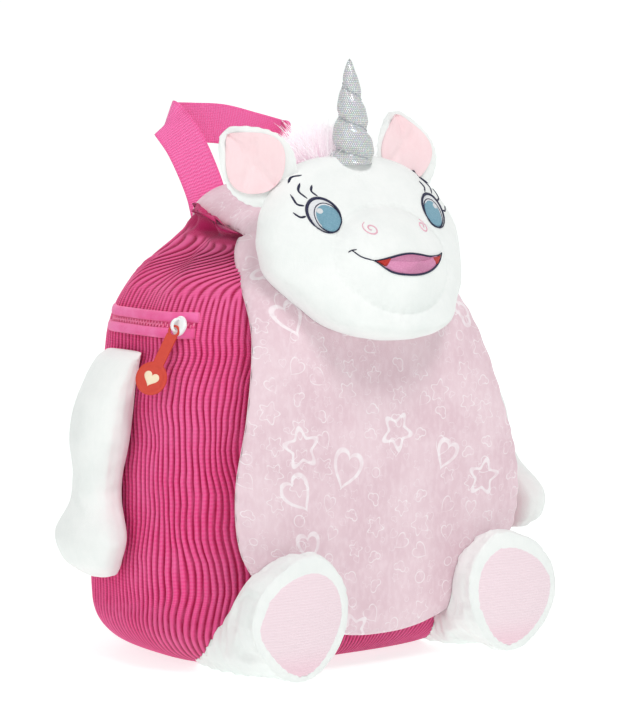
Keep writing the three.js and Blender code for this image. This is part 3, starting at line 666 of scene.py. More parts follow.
def flap_middle_line():
    rim = sack_point(BACK, MOUTH_ROW, FLAP_STAND_OFF)
    low_rim = Vector((0, rim.y, rim.z - 8))
    turned = rim + Vector((0, -4, 3))
    over = Vector((0, -SACK_FORWARD, SACK_HEIGHT + FLAP_OVER_MOUTH))
    brow = sack_point(FRONT, MOUTH_ROW)
    brow.z = SACK_HEIGHT + FLAP_STAND_OFF
    top_row, low_row, count = MOUTH_ROW - 1.8, 4, 8
    rows = [top_row + (low_row - top_row) * i / (count - 1) for i in range(count)]
    front = [sack_point(FRONT, row, FLAP_STAND_OFF) for row in rows]
    end = Vector((0, front[-1].y, SACK_HEIGHT * FLAP_BOTTOM_UP))
    points = [low_rim, turned, over, brow, *front, end]
    return MiddleLine([Vector((0, point.y, point.z)) for point in points])


flap_line = flap_middle_line()
print("the flap is", round(flap_line.lengths[-1]), "mm long")

# %% [markdown]
# The section of the flap is a flattened oval that ends in a tight seam all round. A stuffed panel is never
# even: the seam puckers the cloth beside it, and the stuffing leaves shallow dents.

# %% The flap
FLAP_ROUNDNESS = 2.9
FLAP_COLUMNS, FLAP_CELL_ROWS = 190, 220


def flap_share(u, v):
    """Share across, share down and side of the padding (1 outside, -1 inside) of a cell of the flap."""
    across = math.cos(2 * math.pi * u)
    down = 0.65 * v + 0.35 * (0.5 - 0.5 * math.cos(math.pi * v))
    return squared(across, 0.8), down, math.copysign(1, math.sin(2 * math.pi * u))


def flap_pattern(u, v):
    """The flap laid flat, for its print."""
    across, down, _ = flap_share(u, v)
    wide, _ = read_table(FLAP_ROWS, down * (len(FLAP_ROWS) - 1))
    return -across * FLAP_WIDTH / 2 * wide, down * flap_line.lengths[-1]


def flap_cloth(u, v):
    across, down, side = flap_share(u, v)
    wide, drape = read_table(FLAP_ROWS, down * (len(FLAP_ROWS) - 1))
    lifted = FLAP_BOTTOM_RISE / flap_line.lengths[-1] * abs(across) ** 2.4 * down**6
    place, heading = flap_line.at(down - lifted)
    outwards = Vector((0, heading.z, -heading.y))
    full = max(1 - abs(2 * down - 1) ** 16, 0) ** 0.5
    fat = bulge(across, FLAP_ROUNDNESS)
    out = FLAP_THICKNESS / 2 * (1 + side * full * fat)
    x = -across * (FLAP_WIDTH / 2) * wide
    if side > 0:
        stitches = math.sin(down * 150 + 2 * soft_noise(x / 30, down * 9, 1))
        pucker = math.exp(-(1 - abs(across)) / 0.09) * stitches
        dents = soft_noise(x / 55, down * 5, 3) + 0.5 * soft_noise(x / 24, down * 13, 7)
        out += full * (0.5 * pucker + 1.1 * fat * (dents - 0.6))
    centre = place + outwards * (out - drape * abs(across) ** 2.6)
    return Vector((x, centre.y, centre.z))


flap = skin("padded_flap", FLAP_COLUMNS, FLAP_CELL_ROWS, flap_cloth, flap_pattern)

# %% [markdown]
# The flap's cloth is a short velour, printed all over with thin white outlines. The print here is a plain
# nursery one of hearts, stars, clouds and rings. The cloth is divided into square cells. A random number
# for each cell picks the shape, its turn and its size, and the line is where the shape's edge is near.


# %% Printed outlines
def outline_print(look, place, cell, line, seed, used=1.0):
    """1 on the lines of a print. Cell and line are in millimetres, used is the share of cells drawn in."""
    x, y, _ = look.split(place)
    x, y = x * (1000 / cell) + seed, y * (1000 / cell) + seed * 0.37
    y = y + look.math("FLOOR", x) * 0.5
    column, row = look.math("FLOOR", x), look.math("FLOOR", y)
    dice = look.dice(column, row)
    red, green, blue = look.split(look.dice(row, column, output=1))
    local = look.joined(x - column - 0.5 + (red - 0.5) * 0.3, y - row - 0.5 + (green - 0.5) * 0.3)
    settings = {"rotation_type": "Z_AXIS"}
    turned = look.node("ShaderNodeVectorRotate", settings, Vector=local, Angle=(blue - 0.5) * 2)
    x, y, _ = look.split(turned)
    y = y * -1
    radius = look.math("SQRT", x * x + y * y)
    angle = look.math("ARCTAN2", x, y)
    size = red * 0.1 + 0.2
    raised = y - look.math("SQRT", look.math("ABSOLUTE", x) + 0.0001) * 0.42
    heart = look.math("SQRT", x * x + raised * raised * 1.1) - size
    star = radius * (look.math("COSINE", angle * 5) * -0.26 + 1) - size
    puffs = []
    for across, up, share in ((-0.14, -0.03, 0.11), (0.01, 0.05, 0.15), (0.16, -0.03, 0.1)):
        side, rise = x - across, y - up
        puffs.append(look.math("SQRT", side * side + rise * rise) - share)
    cloud = look.math("MINIMUM", look.math("MINIMUM", puffs[0], puffs[1]), puffs[2])
    ring = radius - size * 0.7

    def choose(limit, first, second):
        picked = dice < limit
        return picked * first + (1 - picked) * second

    edge = look.math("ABSOLUTE", choose(0.3, heart, choose(0.58, star, choose(0.85, cloud, ring))))
    is_used = look.math("FRACT", dice * 7.3) < used
    return (1 - edge.step(0.5 * line / cell, 0.9 * line / cell)) * is_used


velour = Look("printed_velour", Roughness=0.85, Sheen_Weight=0.4, Sheen_Roughness=0.4)
velour.paint(Sheen_Tint=(1.0, 0.9, 0.94), Specular_IOR_Level=0.2)
object_place = velour.coordinates("Object")
cloth_place = velour.coordinates("UV")
clouded = velour.noise(object_place, 28, 4).step(0.36, 0.66)
brushed = velour.noise(velour.stretched(object_place, (300, 300, 160)), 1, 3)
fuzz = velour.noise(object_place, 1300, 3)
velour_colour = velour.mix(clouded, (0.76, 0.555, 0.615), (0.82, 0.63, 0.685))
velour_colour = velour.mix(brushed.step(0.4, 0.7) * 0.3, velour_colour, (0.92, 0.77, 0.82))
small_lines = outline_print(velour, cloth_place, 19, 0.5, 3, 0.85)
tiny_lines = outline_print(velour, cloth_place, 10, 0.36, 8, 0.7)
bold_lines = outline_print(velour, cloth_place, 36, 1.9, 5.3, 0.25)
worn = velour.noise(object_place, 160, 2).step(0.3, 0.6)
printed = velour.mix(tiny_lines * worn * 0.35, velour_colour, (0.97, 0.9, 0.93))
printed = velour.mix(small_lines * (worn * 0.45 + 0.1), printed, (0.98, 0.93, 0.95))
printed = velour.mix(bold_lines * (worn * 0.3 + 0.35), printed, (0.97, 0.93, 0.95))
velour.paint(Base_Color=printed, Normal=velour.bump(fuzz * 0.6 + brushed * 0.5, 0.35))
dress(flap, velour.material, "printed_cloth", "front_flap", fill=0.6)

# %% [markdown]
# ## Plush
#
# The head, the arms and the legs are one brushed plush. It is white, with a very short nap that scatters
# the light, so its shading is soft. Pink plush is the same cloth in another dye, so one function makes
# both. The nap is far finer than a pixel and is left to a bump and to sheen.


# %% Plush material
def plush(name, light, shade):
    look = Look(name, Roughness=0.9, Sheen_Weight=0.3, Sheen_Roughness=0.5)
    look.paint(Specular_IOR_Level=0.15)
    place = look.coordinates("Object")
    patches = look.noise(place, 45, 4).step(0.3, 0.7)
    nap = look.noise(place, 1700, 3)
    brushed = look.noise(look.stretched(place, (420, 420, 160)), 1, 3)
    colour = look.mix(patches * 0.5 + brushed * 0.5, shade, light)
    return look.paint(Base_Color=colour, Normal=look.bump(nap * 0.6 + brushed * 0.5, 0.3))


white_plush = plush("white_plush", (0.93, 0.94, 0.925), (0.84, 0.865, 0.85))
ear_plush = plush("ear_plush", (0.97, 0.76, 0.785), (0.94, 0.67, 0.7))

# %% [markdown]
# ## Pressing a stuffed piece against what carries it
#
# A stuffed head is round, but sewn to the flap it goes flat where it lies against it. The piece is made
# round, then every corner of it that would be inside its neighbour is moved back to the neighbour's
# surface. A tree of the neighbour's faces finds that surface with a straight ray.


# %% Pressing
def tree_of(piece):
    """The piece's faces, ready to be asked where a ray meets them."""
    depsgraph = bpy.context.evaluated_depsgraph_get()
    return BVHTree.FromObject(piece, depsgraph)


def press(piece, neighbours, direction, gap=0.4):
    """Moves corners that lie inside a neighbour back against the direction, to just outside it."""
    for vert in piece.data.vertices:
        start = vert.co - direction
        for tree in neighbours:
            hit = tree.ray_cast(start, direction)[0]
            if hit and (hit - start).dot(direction) < direction.length_squared + gap * MM:
                reach = (hit - start).dot(direction) / direction.length_squared - gap * MM
                vert.co = start + direction * min(reach, 1.0)
                start = vert.co - direction
    piece.data.update()


flap_tree = tree_of(flap)
BACKWARDS = Vector((0, 1, 0))
print("pieces can now be pressed against", flap.name)

# %% [markdown]
# The flap is sewn over the mouth and pulls its rim up. So the rim is lifted, but never through the flap:
# a ray from below finds the underside of the flap, and a corner above that goes back to just under it.

# %% Lifting the rim to the flap
RIM_START_UP, RIM_LIFT, RIM_REACH, RIM_ROOM = 0.985, 6, 14, 0.6
rim_low = in_frame(Vector((0, 0, SACK_HEIGHT * RIM_START_UP))).z
rim_high = in_frame(Vector((0, 0, SACK_HEIGHT))).z
for vert in sack.data.vertices:
    if vert.co.z < rim_low:
        continue
    vert.co.z += RIM_LIFT * MM * smooth_step(vert.co.z, rim_low, rim_high)
    under_flap = flap_tree.ray_cast(vert.co - Vector((0, 0, RIM_REACH * MM)), Vector((0, 0, 1)))[0]
    if under_flap and under_flap.z - RIM_ROOM * MM < vert.co.z:
        vert.co.z = max(under_flap.z - RIM_ROOM * MM, vert.co.z - RIM_REACH * MM)
sack.data.update()
sack_tree = tree_of(sack)
print("the rim reaches", round(max(vert.co.z for vert in sack.data.vertices) / MM), "mm")

# %% [markdown]
# ## The head
#
# The head is a flattened ball with full cheeks and a soft chin. A muzzle panel is sewn into the face, and
# its seam shows as a fine valley with the cloth a little puckered beside it. The valley goes into the
# mesh, because it catches the light from any side.

# %% The head
HEAD_WIDTH, HEAD_DEPTH, HEAD_HEIGHT, CHIN_UP, HEAD_SQUARENESS = 150, 76, 114, 212, 2.15
HEAD_ROWS = [
    (0.0, 0.2, 0.24, 35),
    (0.03, 0.42, 0.49, 33),
    (0.09, 0.63, 0.74, 27),
    (0.19, 0.79, 0.89, 17),
    (0.32, 0.94, 0.98, 6),
    (0.42, 1.0, 0.98, 1),
    (0.56, 1.0, 0.92, -3),
    (0.7, 0.94, 0.78, -7),
    (0.86, 0.75, 0.58, -13),
    (0.94, 0.57, 0.42, -15),
    (0.985, 0.36, 0.27, -15),
    (1.0, 0.18, 0.14, -14),
]
MUZZLE_HALF_WIDTH, MUZZLE_HALF_HEIGHT, MUZZLE_UP, MUZZLE_SWELL = 43, 33, 50, 15
SEAM_DEPTH, SEAM_WIDTH = 1.3, 2.2
HEAD_COLUMNS, HEAD_CELL_ROWS = 240, 170


def muzzle_relief(x, up):
    """How far the muzzle panel stands out of the face, with the valley of its seam."""
    across, rise = x / MUZZLE_HALF_WIDTH, (up - MUZZLE_UP) / MUZZLE_HALF_HEIGHT
    away = math.hypot(across, rise)
    swell = MUZZLE_SWELL * max(0, 1 - away * away) ** (0.95 - 0.25 * smooth_step(rise, -0.3, 0.8))
    from_seam = (away - 1) * (MUZZLE_HALF_WIDTH + MUZZLE_HALF_HEIGHT) / 2
    sewn = 0.2 + 0.8 * smooth_step(rise, -0.2, 0.7)
    valley = SEAM_DEPTH * math.exp(-((from_seam / SEAM_WIDTH) ** 2)) * sewn
    pucker = 0.35 * math.exp(-abs(from_seam) / 4) * math.sin(38 * math.atan2(rise, across))
    return swell - valley + pucker


def head_cloth(u, v):
    turn = 2 * math.pi * u
    row = (len(HEAD_ROWS) - 1) * min(max((v - 0.012) / 0.976, 0), 1)
    up, wide, deep, ahead = read_table(HEAD_ROWS, row)
    half_width, half_depth = HEAD_WIDTH / 2 * wide, HEAD_DEPTH / 2 * deep
    radius = 0 if v in (0.0, 1.0) else squared_radius(turn, half_width, half_depth, HEAD_SQUARENESS)
    x, y = math.cos(turn) * radius, math.sin(turn) * radius
    facing = smooth_step(-math.sin(turn), 0.0, 0.25)
    ruffle = math.sin(26 * up + 3 * soft_noise(x / 20, up * 6, 2))
    edge_pucker = 0.4 * ruffle * (1 - facing) * math.cos(turn)
    dents = 1.3 * soft_noise(x / 38, y / 38, up * 3.3)
    cheek = smooth_step(abs(x), 42, 60) * facing
    dents += 0.8 * cheek * math.sin(26 * up + 2.5 * soft_noise(x / 16, 0, up * 5))
    y -= facing * muzzle_relief(x, up * HEAD_HEIGHT) + dents * facing * (0.2 + deep)
    return Vector((x + edge_pucker, y - SACK_DEPTH / 2 - ahead, CHIN_UP + HEAD_HEIGHT * up))


head = skin("stuffed_head", HEAD_COLUMNS, HEAD_CELL_ROWS, head_cloth)
press(head, [flap_tree, sack_tree], BACKWARDS)
dress(head, white_plush, "plush", "head", fill=0.8)
head_tree = tree_of(head)

# %% [markdown]
# ## Embroidery
#
# The face is satin stitch: thread packed side by side, standing about half a millimetre proud. A line of
# stitching is a low rounded strip and a filled shape is a low dome. Both are laid on the face with a ray
# for each corner, so they follow every curve of it.


# %% Stitching on the face
STITCH_HEIGHT = 0.55


def face_place(x, up, lift):
    """The face at a place across and up from the chin, and how far it is lifted along its normal."""
    start = in_frame(Vector((x, -400, CHIN_UP + up)))
    hit, normal, _, _ = head_tree.ray_cast(start, BACKWARDS)
    if hit is None:
        hit, normal, _, _ = head_tree.find_nearest(in_frame(Vector((x, -SACK_DEPTH / 2, CHIN_UP + up))))
    return hit + normal * lift * MM


def smooth_path(points, count):
    """Points evenly along a smooth curve through a few places."""
    last = len(points) - 1
    return [Vector(read_table(points, last * i / (count - 1))) for i in range(count)]


def stitched_line(points, width, count=28):
    """A strip of stitches through places on the face, tapered at its ends; its UV runs along it."""
    path = smooth_path(points, count)
    mesh = bare_grid(4, count - 1)
    for vert in mesh.verts:
        across, along = 2 * vert.co.x - 1, round(vert.co.y * (count - 1))
        ahead, behind = path[min(along + 1, count - 1)], path[max(along - 1, 0)]
        sideways = Vector((behind.y - ahead.y, ahead.x - behind.x)).normalized()
        taper = min(1, 0.25 + 5 * min(vert.co.y, 1 - vert.co.y))
        place = path[along] + sideways * across * width / 2 * taper
        lift = STITCH_HEIGHT * (1 - across * across) - 0.05
        vert.co = face_place(place.x, place.y, lift)
    return mesh


def stitched_fill(outline, count=64, rings=7):
    """A filled shape of stitches inside a closed outline, slightly domed."""
    corners = [Vector(point) for point in outline]
    middle = sum(corners, Vector((0, 0))) / len(corners)
    closed = corners + corners[:1]
    path = smooth_path(closed, count + 1) if len(corners) < 20 else closed
    mesh = bare_grid(count, rings)
    for vert in mesh.verts:
        share = 1 - vert.co.y
        place = middle.lerp(path[round(vert.co.x * count)], share)
        lift = STITCH_HEIGHT * min(1, 4 * (1 - share)) - 0.06
        vert.co = face_place(place.x, place.y, lift)
    bmesh.ops.remove_doubles(mesh, verts=mesh.verts, dist=0.01 * MM)
    return mesh


def raised(mesh, out):
    """The stitches moved forwards, to lie over others."""
    for vert in mesh.verts:
        vert.co.y -= out * MM
    return mesh


def sew(name, meshes, material, slot, *nodes):
    """Joins meshes of one thread into a piece with a little body behind it."""
    joined = bmesh.new()
    joined.loops.layers.uv.new("UVMap")
    for mesh in meshes:
        part = bpy.data.meshes.new("part")
        bmesh.ops.recalc_face_normals(mesh, faces=mesh.faces)
        if sum(face.normal.y * face.calc_area() for face in mesh.faces) > 0:
            bmesh.ops.reverse_faces(mesh, faces=mesh.faces)
        mesh.to_mesh(part)
        mesh.free()
        joined.from_mesh(part)
        bpy.data.meshes.remove(part)
    piece = linked_object(name, joined)
    thick = piece.modifiers.new("thread", "SOLIDIFY")
    thick.thickness = 0.5 * MM
    thick.offset = -1
    return dress(piece, material, slot, *nodes)


def thread(name, colour, shade, gloss=0.5):
    """Satin stitch: fine glossy threads across the line, from the strip's own map."""
    look = Look(name, Roughness=gloss, Specular_IOR_Level=0.45)
    place = look.coordinates("Object")
    _, along, _ = look.split(look.coordinates("UV"))
    strand = look.math("SINE", along * 260) * 0.5 + 0.5
    fleck = look.noise(look.stretched(place, (900, 900, 2600)), 1, 2)
    tone = look.mix(fleck.step(0.3, 0.7) * 0.6 + strand * 0.3, shade, colour)
    return look.paint(Base_Color=tone, Normal=look.bump(fleck + strand * 0.4, 0.22))


navy = thread("navy_thread", (0.018, 0.02, 0.075), (0.006, 0.007, 0.035))
blue = thread("blue_thread", (0.3, 0.52, 0.64), (0.17, 0.38, 0.5))
white = thread("white_thread", (0.95, 0.96, 0.97), (0.82, 0.84, 0.88))
rose = thread("rose_thread", (0.84, 0.38, 0.58), (0.7, 0.22, 0.43))
pale_rose = thread("pale_rose_thread", (0.9, 0.55, 0.64), (0.82, 0.42, 0.53))
red = thread("red_thread", (0.72, 0.045, 0.03), (0.5, 0.02, 0.015))
print("threads", len(bpy.data.materials))

# %% [markdown]
# Each eye has a white ground, a blue iris, a white glint, a heavy upper lid, four curled lashes and a thin
# brow. The two eyes are one drawing, mirrored. Places are in millimetres from the middle of the iris,
# with the outer side negative.

# %% The eyes
EYE_ACROSS, EYE_UP, EYES_ASIDE = 43, 77.3, 1.8
IRIS_RADIUS, OVAL_CORNERS = 9.6, 64
LASHES = [
    [(-12.4, 0.9), (-15.8, 0.4), (-18.6, 3.1)],
    [(-11.0, 7.2), (-14.6, 8.4), (-15.4, 14.0)],
    [(-7.4, 11.6), (-10.0, 16.0), (-6.6, 20.8)],
    [(-0.4, 12.9), (-2.6, 16.0), (-0.4, 19.6)],
]
BROW = [(-12.2, 20.8), (-8.2, 24.4), (-2.6, 25.6)]


def oval(middle, half_width, half_height, turn=0.0):
    """The outline of an oval on the face, turned about its middle."""
    corners, cosine, sine = [], math.cos(turn), math.sin(turn)
    for i in range(OVAL_CORNERS):
        angle = 2 * math.pi * i / OVAL_CORNERS
        x, y = half_width * math.cos(angle), half_height * math.sin(angle)
        corners.append((middle[0] + x * cosine - y * sine, middle[1] + x * sine + y * cosine))
    return corners


for side, name in ((-1, "right"), (1, "left")):

    def on_eye(points):
        return [(EYES_ASIDE + side * (EYE_ACROSS - point[0]), EYE_UP + point[1]) for point in points]

    ground = oval((-1.1, 1.3), 10.2, 10.6)
    lid = [ground[i % OVAL_CORNERS] for i in range(-3, 44, 4)]
    lower = [ground[i % OVAL_CORNERS] for i in range(40, 62, 4)]
    iris = oval((0.5, -0.2), IRIS_RADIUS * 0.86, IRIS_RADIUS * 0.92)
    sew(f"eye_white_{name}", [stitched_fill(on_eye(ground))], white, "eye_thread")
    sew(f"iris_{name}", [raised(stitched_fill(on_eye(iris)), 0.35)], blue, "eye_thread", f"eye_{name}")
    glint = oval((-3.6, 4.0), 2.2, 1.8, turn=0.4)
    sew(f"eye_glint_{name}", [raised(stitched_fill(on_eye(glint)), 0.75)], white, "eye_thread")
    rims = [(lid, 1.7, 60), (lower, 0.8, 30), ([*iris[::4], iris[0]], 0.8, 60)]
    lines = [raised(stitched_line(on_eye(rim), width, count), 0.4) for rim, width, count in rims]
    lines += [stitched_line(on_eye(lash), 1.35, 16) for lash in LASHES]
    sew(f"eye_outline_{name}", lines, navy, "eye_thread")
    sew(f"brow_{name}", [stitched_line(on_eye(BROW), 0.85, 20)], navy, "eye_thread")

# %% [markdown]
# The mouth is an open smile. Its line starts at a small tick in the right cheek, runs down to the lips
# and back up, and the tongue fills it with rose thread and two red corners. A pale swirl is each nostril.

# %% The mouth and nostrils
UPPER_LIP = [(-24, 51.1), (-16.5, 52.3), (-8, 54.2), (0, 54.9)]
UPPER_LIP += [(8, 54.0), (17.2, 52.3), (26, 52.0), (34, 53.2)]
LOWER_LIP = [(34, 53.2), (28, 48.6), (18.2, 44.2), (7, 41.9), (-5, 42.0), (-15.2, 44.2), (-24, 51.1)]
SMILE = [(-34, 57.2), (-30.1, 53.4), (-24, 51.1)]
TICK = [(-36.2, 56.2), (-34.2, 57.4), (-31.8, 57.9)]
mouth_outline = [*smooth_path(UPPER_LIP, 32)[:-1], *smooth_path(LOWER_LIP, 33)[:-1]]
tongue = stitched_fill([tuple(point) for point in mouth_outline], len(mouth_outline))
sew("mouth_fill", [tongue], rose, "mouth_thread", "mouth")
CORNERS = [
    [(-23, 50.8), (-17.5, 51.7), (-14, 52.4), (-15.5, 49.6), (-18.5, 47.6)],
    [(32, 52.2), (26, 51.6), (20, 51.7), (21.5, 48.6), (24.5, 46.8)],
]
corners = [raised(stitched_fill(corner, 40), 0.25) for corner in CORNERS]
sew("mouth_corners", corners, red, "mouth_thread")
lips = [raised(stitched_line(line, 1.25, 60), 0.35) for line in (UPPER_LIP, LOWER_LIP)]
lips += [stitched_line(SMILE, 0.9, 20), stitched_line(TICK, 0.8, 12)]
sew("lip_lines", lips, navy, "mouth_thread")


def swirl(middle, side):
    places = []
    for i in range(22):
        turn = 0.5 * math.pi + side * (0.4 + 0.42 * i)
        radius = 4.9 - 0.19 * i
        places.append((middle[0] + radius * math.cos(turn), middle[1] + radius * 0.85 * math.sin(turn)))
    return places


nostrils = [stitched_line(swirl((2.5 + side * 21.5, 70.3), -side), 0.95, 80) for side in (-1, 1)]
sew("nostrils", nostrils, pale_rose, "mouth_thread")

# %% [markdown]
# ## Ears
#
# An ear is two leaves of plush sewn round their edge and turned, with a little stuffing, then pinched at
# the root so that it cups forwards. Its lining is a smaller leaf of pink plush with a crease down it.

# %% Ears
EAR_LENGTH, EAR_WIDTH, EAR_THICKNESS, EAR_CUP, EAR_BEHIND = 51, 48, 7, 9, 19
EARS = [("right", -53, 94, -42, -25, -14), ("left", 48, 91, -6, 0, -6)]
LINING_SHARE = 0.87


def ear_front(across, along):
    """Half width, the back and the front of an ear, at a share across and along it."""
    half = EAR_WIDTH / 2 * math.sin(math.pi * (0.2 + 0.77 * along)) ** 0.75
    puff = EAR_THICKNESS * (1 - 0.75 * max(abs(across) ** 3, along**6))
    cup = EAR_CUP * abs(across) ** 2 * math.sin(math.pi * (0.25 + 0.7 * along))
    return half, -cup, -cup - puff


def ear_leaf(u, v):
    across, side = math.cos(2 * math.pi * u), math.sin(2 * math.pi * u)
    across = squared(across, 0.8)
    along = 0.004 + 0.992 * v
    half, back, front = ear_front(across, along)
    end = min(1, 12 * (1 - along)) ** 0.5
    fat = 0.5 + 0.5 * math.copysign(max(1 - across**4, 0) ** 0.4, side) * end
    pucker = 0.3 * math.sin(60 * along) * abs(across) ** 8
    return Vector((across * half + pucker, back + (front - back) * fat, along * EAR_LENGTH))


def ear_lining(u, v):
    across, side = math.cos(2 * math.pi * u), math.sin(2 * math.pi * u)
    share = LINING_SHARE * squared(across, 0.8)
    along = (1 - LINING_SHARE) / 2 + 0.02 + v * LINING_SHARE
    half, _, front = ear_front(share, along)
    rounding = math.sin(math.pi * min(max(v, 0), 1)) ** 0.4
    crease = 2.6 * math.exp(-((share + 0.12 - 0.2 * along) ** 2) / 0.006)
    crease += 1.9 * math.exp(-((along - 0.55 - 0.3 * share) ** 2) / 0.003)
    dome = 1.5 * max(1 - across * across, 0) ** 0.5 * rounding - crease * (1 - across * across) * rounding
    lift = 0.5 + max(dome, 0.2) if side > 0 else -0.6
    return Vector((share * half * rounding, front - lift, along * EAR_LENGTH))


for name, x, up, tilt, turn, lean in EARS:
    angles = [math.radians(angle) for angle in (lean, tilt, turn)]
    pose = Matrix.Identity(3)
    for angle, axis in zip(angles, "XYZ"):
        pose = pose @ Matrix.Rotation(angle, 3, axis)
    root = Vector((x, EAR_BEHIND - SACK_DEPTH / 2, CHIN_UP + up))
    leaf = skin(f"plush_ear_{name}", 96, 60, lambda u, v: root + pose @ ear_leaf(u, v))
    press(leaf, [flap_tree], BACKWARDS)
    dress(leaf, white_plush, "plush", f"ear_{name}", fill=0.35)
    inner = skin(f"pink_ear_{name}", 80, 60, lambda u, v: root + pose @ ear_lining(u, v))
    dress(inner, ear_plush, "ear_cloth", f"ear_lining_{name}", fill=0.2)

# %% [markdown]
# ## The horn
#
# The horn is a stuffed cone of silver cloth. A strong thread is wound round it and pulled tight, which
# cuts a spiral valley and lets the stuffing bulge between its turns. The cloth is covered with tiny foil
# dots that each throw back a slightly different colour.

# %% The horn
HORN_LENGTH, HORN_RADIUS, HORN_TURNS, HORN_GROOVE, HORN_BEHIND, HORN_SINK = 68, 15.5, 3.4, 0.24, 9, 6
HORN_TAPER, HORN_LEAN = 0.66, math.radians(-3)
horn_root = Vector((0, HORN_BEHIND - SACK_DEPTH / 2, CHIN_UP + HEAD_HEIGHT - HORN_SINK))


def horn_section(turn, along, out=0.0):
    dip = (0.5 + 0.5 * math.cos(turn + 2 * math.pi * HORN_TURNS * along)) ** 3
    radius = HORN_RADIUS * max(1 - along, 0) ** HORN_TAPER * (1 - HORN_GROOVE * dip) + out
    radius += 0.35 * dip * math.sin(9 * turn + 40 * along)
    place = Vector((math.cos(turn) * radius, math.sin(turn) * radius, HORN_LENGTH * along))
    return horn_root + Matrix.Rotation(HORN_LEAN, 3, "X") @ place


def horn_cloth(u, v):
    if v in (0.0, 1.0):
        return horn_root + Matrix.Rotation(HORN_LEAN, 3, "X") @ Vector((0, 0, HORN_LENGTH * v))
    return horn_section(2 * math.pi * u, v)


def horn_pattern(u, v):
    """The cone unrolled flat, so that the dots keep their size towards the tip."""
    around = 2 * math.pi * HORN_RADIUS * (1 - v) ** HORN_TAPER
    return (u - 0.5) * around, HORN_LENGTH * v


horn = skin("silver_horn", 96, 150, horn_cloth, horn_pattern)

# %% [markdown]
# The foil dots stand in rows, each row shifted by half a dot. The cone's flat pattern gives their places,
# and a random colour for each cell of that pattern tints its dot.

# %% Foil cloth
silver = Look("foil_dots", Specular_IOR_Level=0.6)
flat_place = silver.coordinates("UV")
x, y, _ = silver.split(flat_place)
DOT_PITCH = 1.35
x, y = x * (1000 / DOT_PITCH), y * (1000 / (DOT_PITCH * 0.866))
x = x + silver.math("FLOOR", y) * 0.5
column, row = silver.math("FLOOR", x), silver.math("FLOOR", y)
side, rise = x - column - 0.5, (y - row - 0.5) * 0.866
dot = 1 - silver.math("SQRT", side * side + rise * rise).step(0.34, 0.46)
tints = silver.dice(column, row, output=1)
sheen = silver.noise(silver.coordinates("Object"), 90, 2, output=1)
foil = silver.mix(0.2, (1.0, 1.0, 1.0), tints)
foil = silver.mix(0.12, foil, sheen)
silver.paint(
    Base_Color=silver.mix(dot, (0.4, 0.44, 0.46), foil),
    Metallic=dot * 0.22,
    Roughness=0.62 - dot * 0.34,
    Normal=silver.bump(dot + silver.noise(silver.coordinates("Object"), 200, 2) * 0.8, 0.25),
)
dress(horn, silver.material, "silver_cloth", "horn", fill=0.9)

# %% [markdown]
# The thread in the valley is a thin cord wound up the cone. A curve with a round section would do, but a
# grid bent along the spiral gives the same mesh as every other piece here.


# %% The horn's thread
def horn_thread(u, v):
    along = 0.05 + 0.88 * v
    turn = math.pi * 2 - 2 * math.pi * HORN_TURNS * along
    ring = 2 * math.pi * u
    thick = 0.45 * (1 if 0 < v < 1 else 0)
    centre = horn_section(turn, along, 0.1)
    outwards = (centre - horn_root - Vector((0, 0, HORN_LENGTH * along))).normalized()
    return centre + thick * (outwards * math.cos(ring) + Vector((0, 0, 1)) * math.sin(ring))


winding = skin("horn_thread", 8, 260, horn_thread)
dress(winding, thread("silver_thread", (0.6, 0.62, 0.65), (0.35, 0.37, 0.4), 0.35), "silver_cloth")

# %% [markdown]
# ## The mane
#
# Long fur is hundreds of fine locks. Each is a thin bent cone with a few faces, made once and then copied
# with its own length, lean and curl. They all grow from a small soft pad behind the horn.

# %% The mane
MANE_MIDDLE = Vector((-3, 38 - SACK_DEPTH / 2, CHIN_UP + 102))
MANE_HALF = Vector((22, 16, 13))
STRANDS, STRAND_SEGMENTS, STRAND_SIDES = 2600, 6, 3
STRAND_LENGTHS, STRAND_RADII = (15, 25), (0.28, 0.5)
dice = random.Random(7)


def mane_pad(u, v):
    turn, lift = 2 * math.pi * u, math.pi * (v - 0.5)
    share = 0 if v in (0.0, 1.0) else math.cos(lift)
    bump = 1 + 0.08 * soft_noise(3 * math.cos(turn), 3 * math.sin(turn), 4 * v)
    return MANE_MIDDLE + Vector(
        (
            0.9 * MANE_HALF.x * math.cos(turn) * share * bump,
            0.9 * MANE_HALF.y * math.sin(turn) * share * bump,
            MANE_HALF.z * math.sin(lift),
        )
    )


def add_strand(mesh, root, tip, radius, curl):
    """A thin cone whose rings follow a bent line from root to tip."""
    bend = root.lerp(tip, 0.5) + Vector((curl[0], curl[1], abs(curl[2]) + 2))
    made = bmesh.ops.create_grid(mesh, x_segments=STRAND_SIDES, y_segments=STRAND_SEGMENTS, size=0.5)
    heading = (tip - root).normalized()
    first = heading.orthogonal().normalized()
    second = heading.cross(first)
    for vert in made["verts"]:
        turn, along = 2 * math.pi * (vert.co.x + 0.5), vert.co.y + 0.5
        centre = root.lerp(bend, along).lerp(bend.lerp(tip, along), along)
        thick = radius * (1 - along**2) + 0.01
        vert.co = in_frame(centre + thick * (first * math.cos(turn) + second * math.sin(turn)))


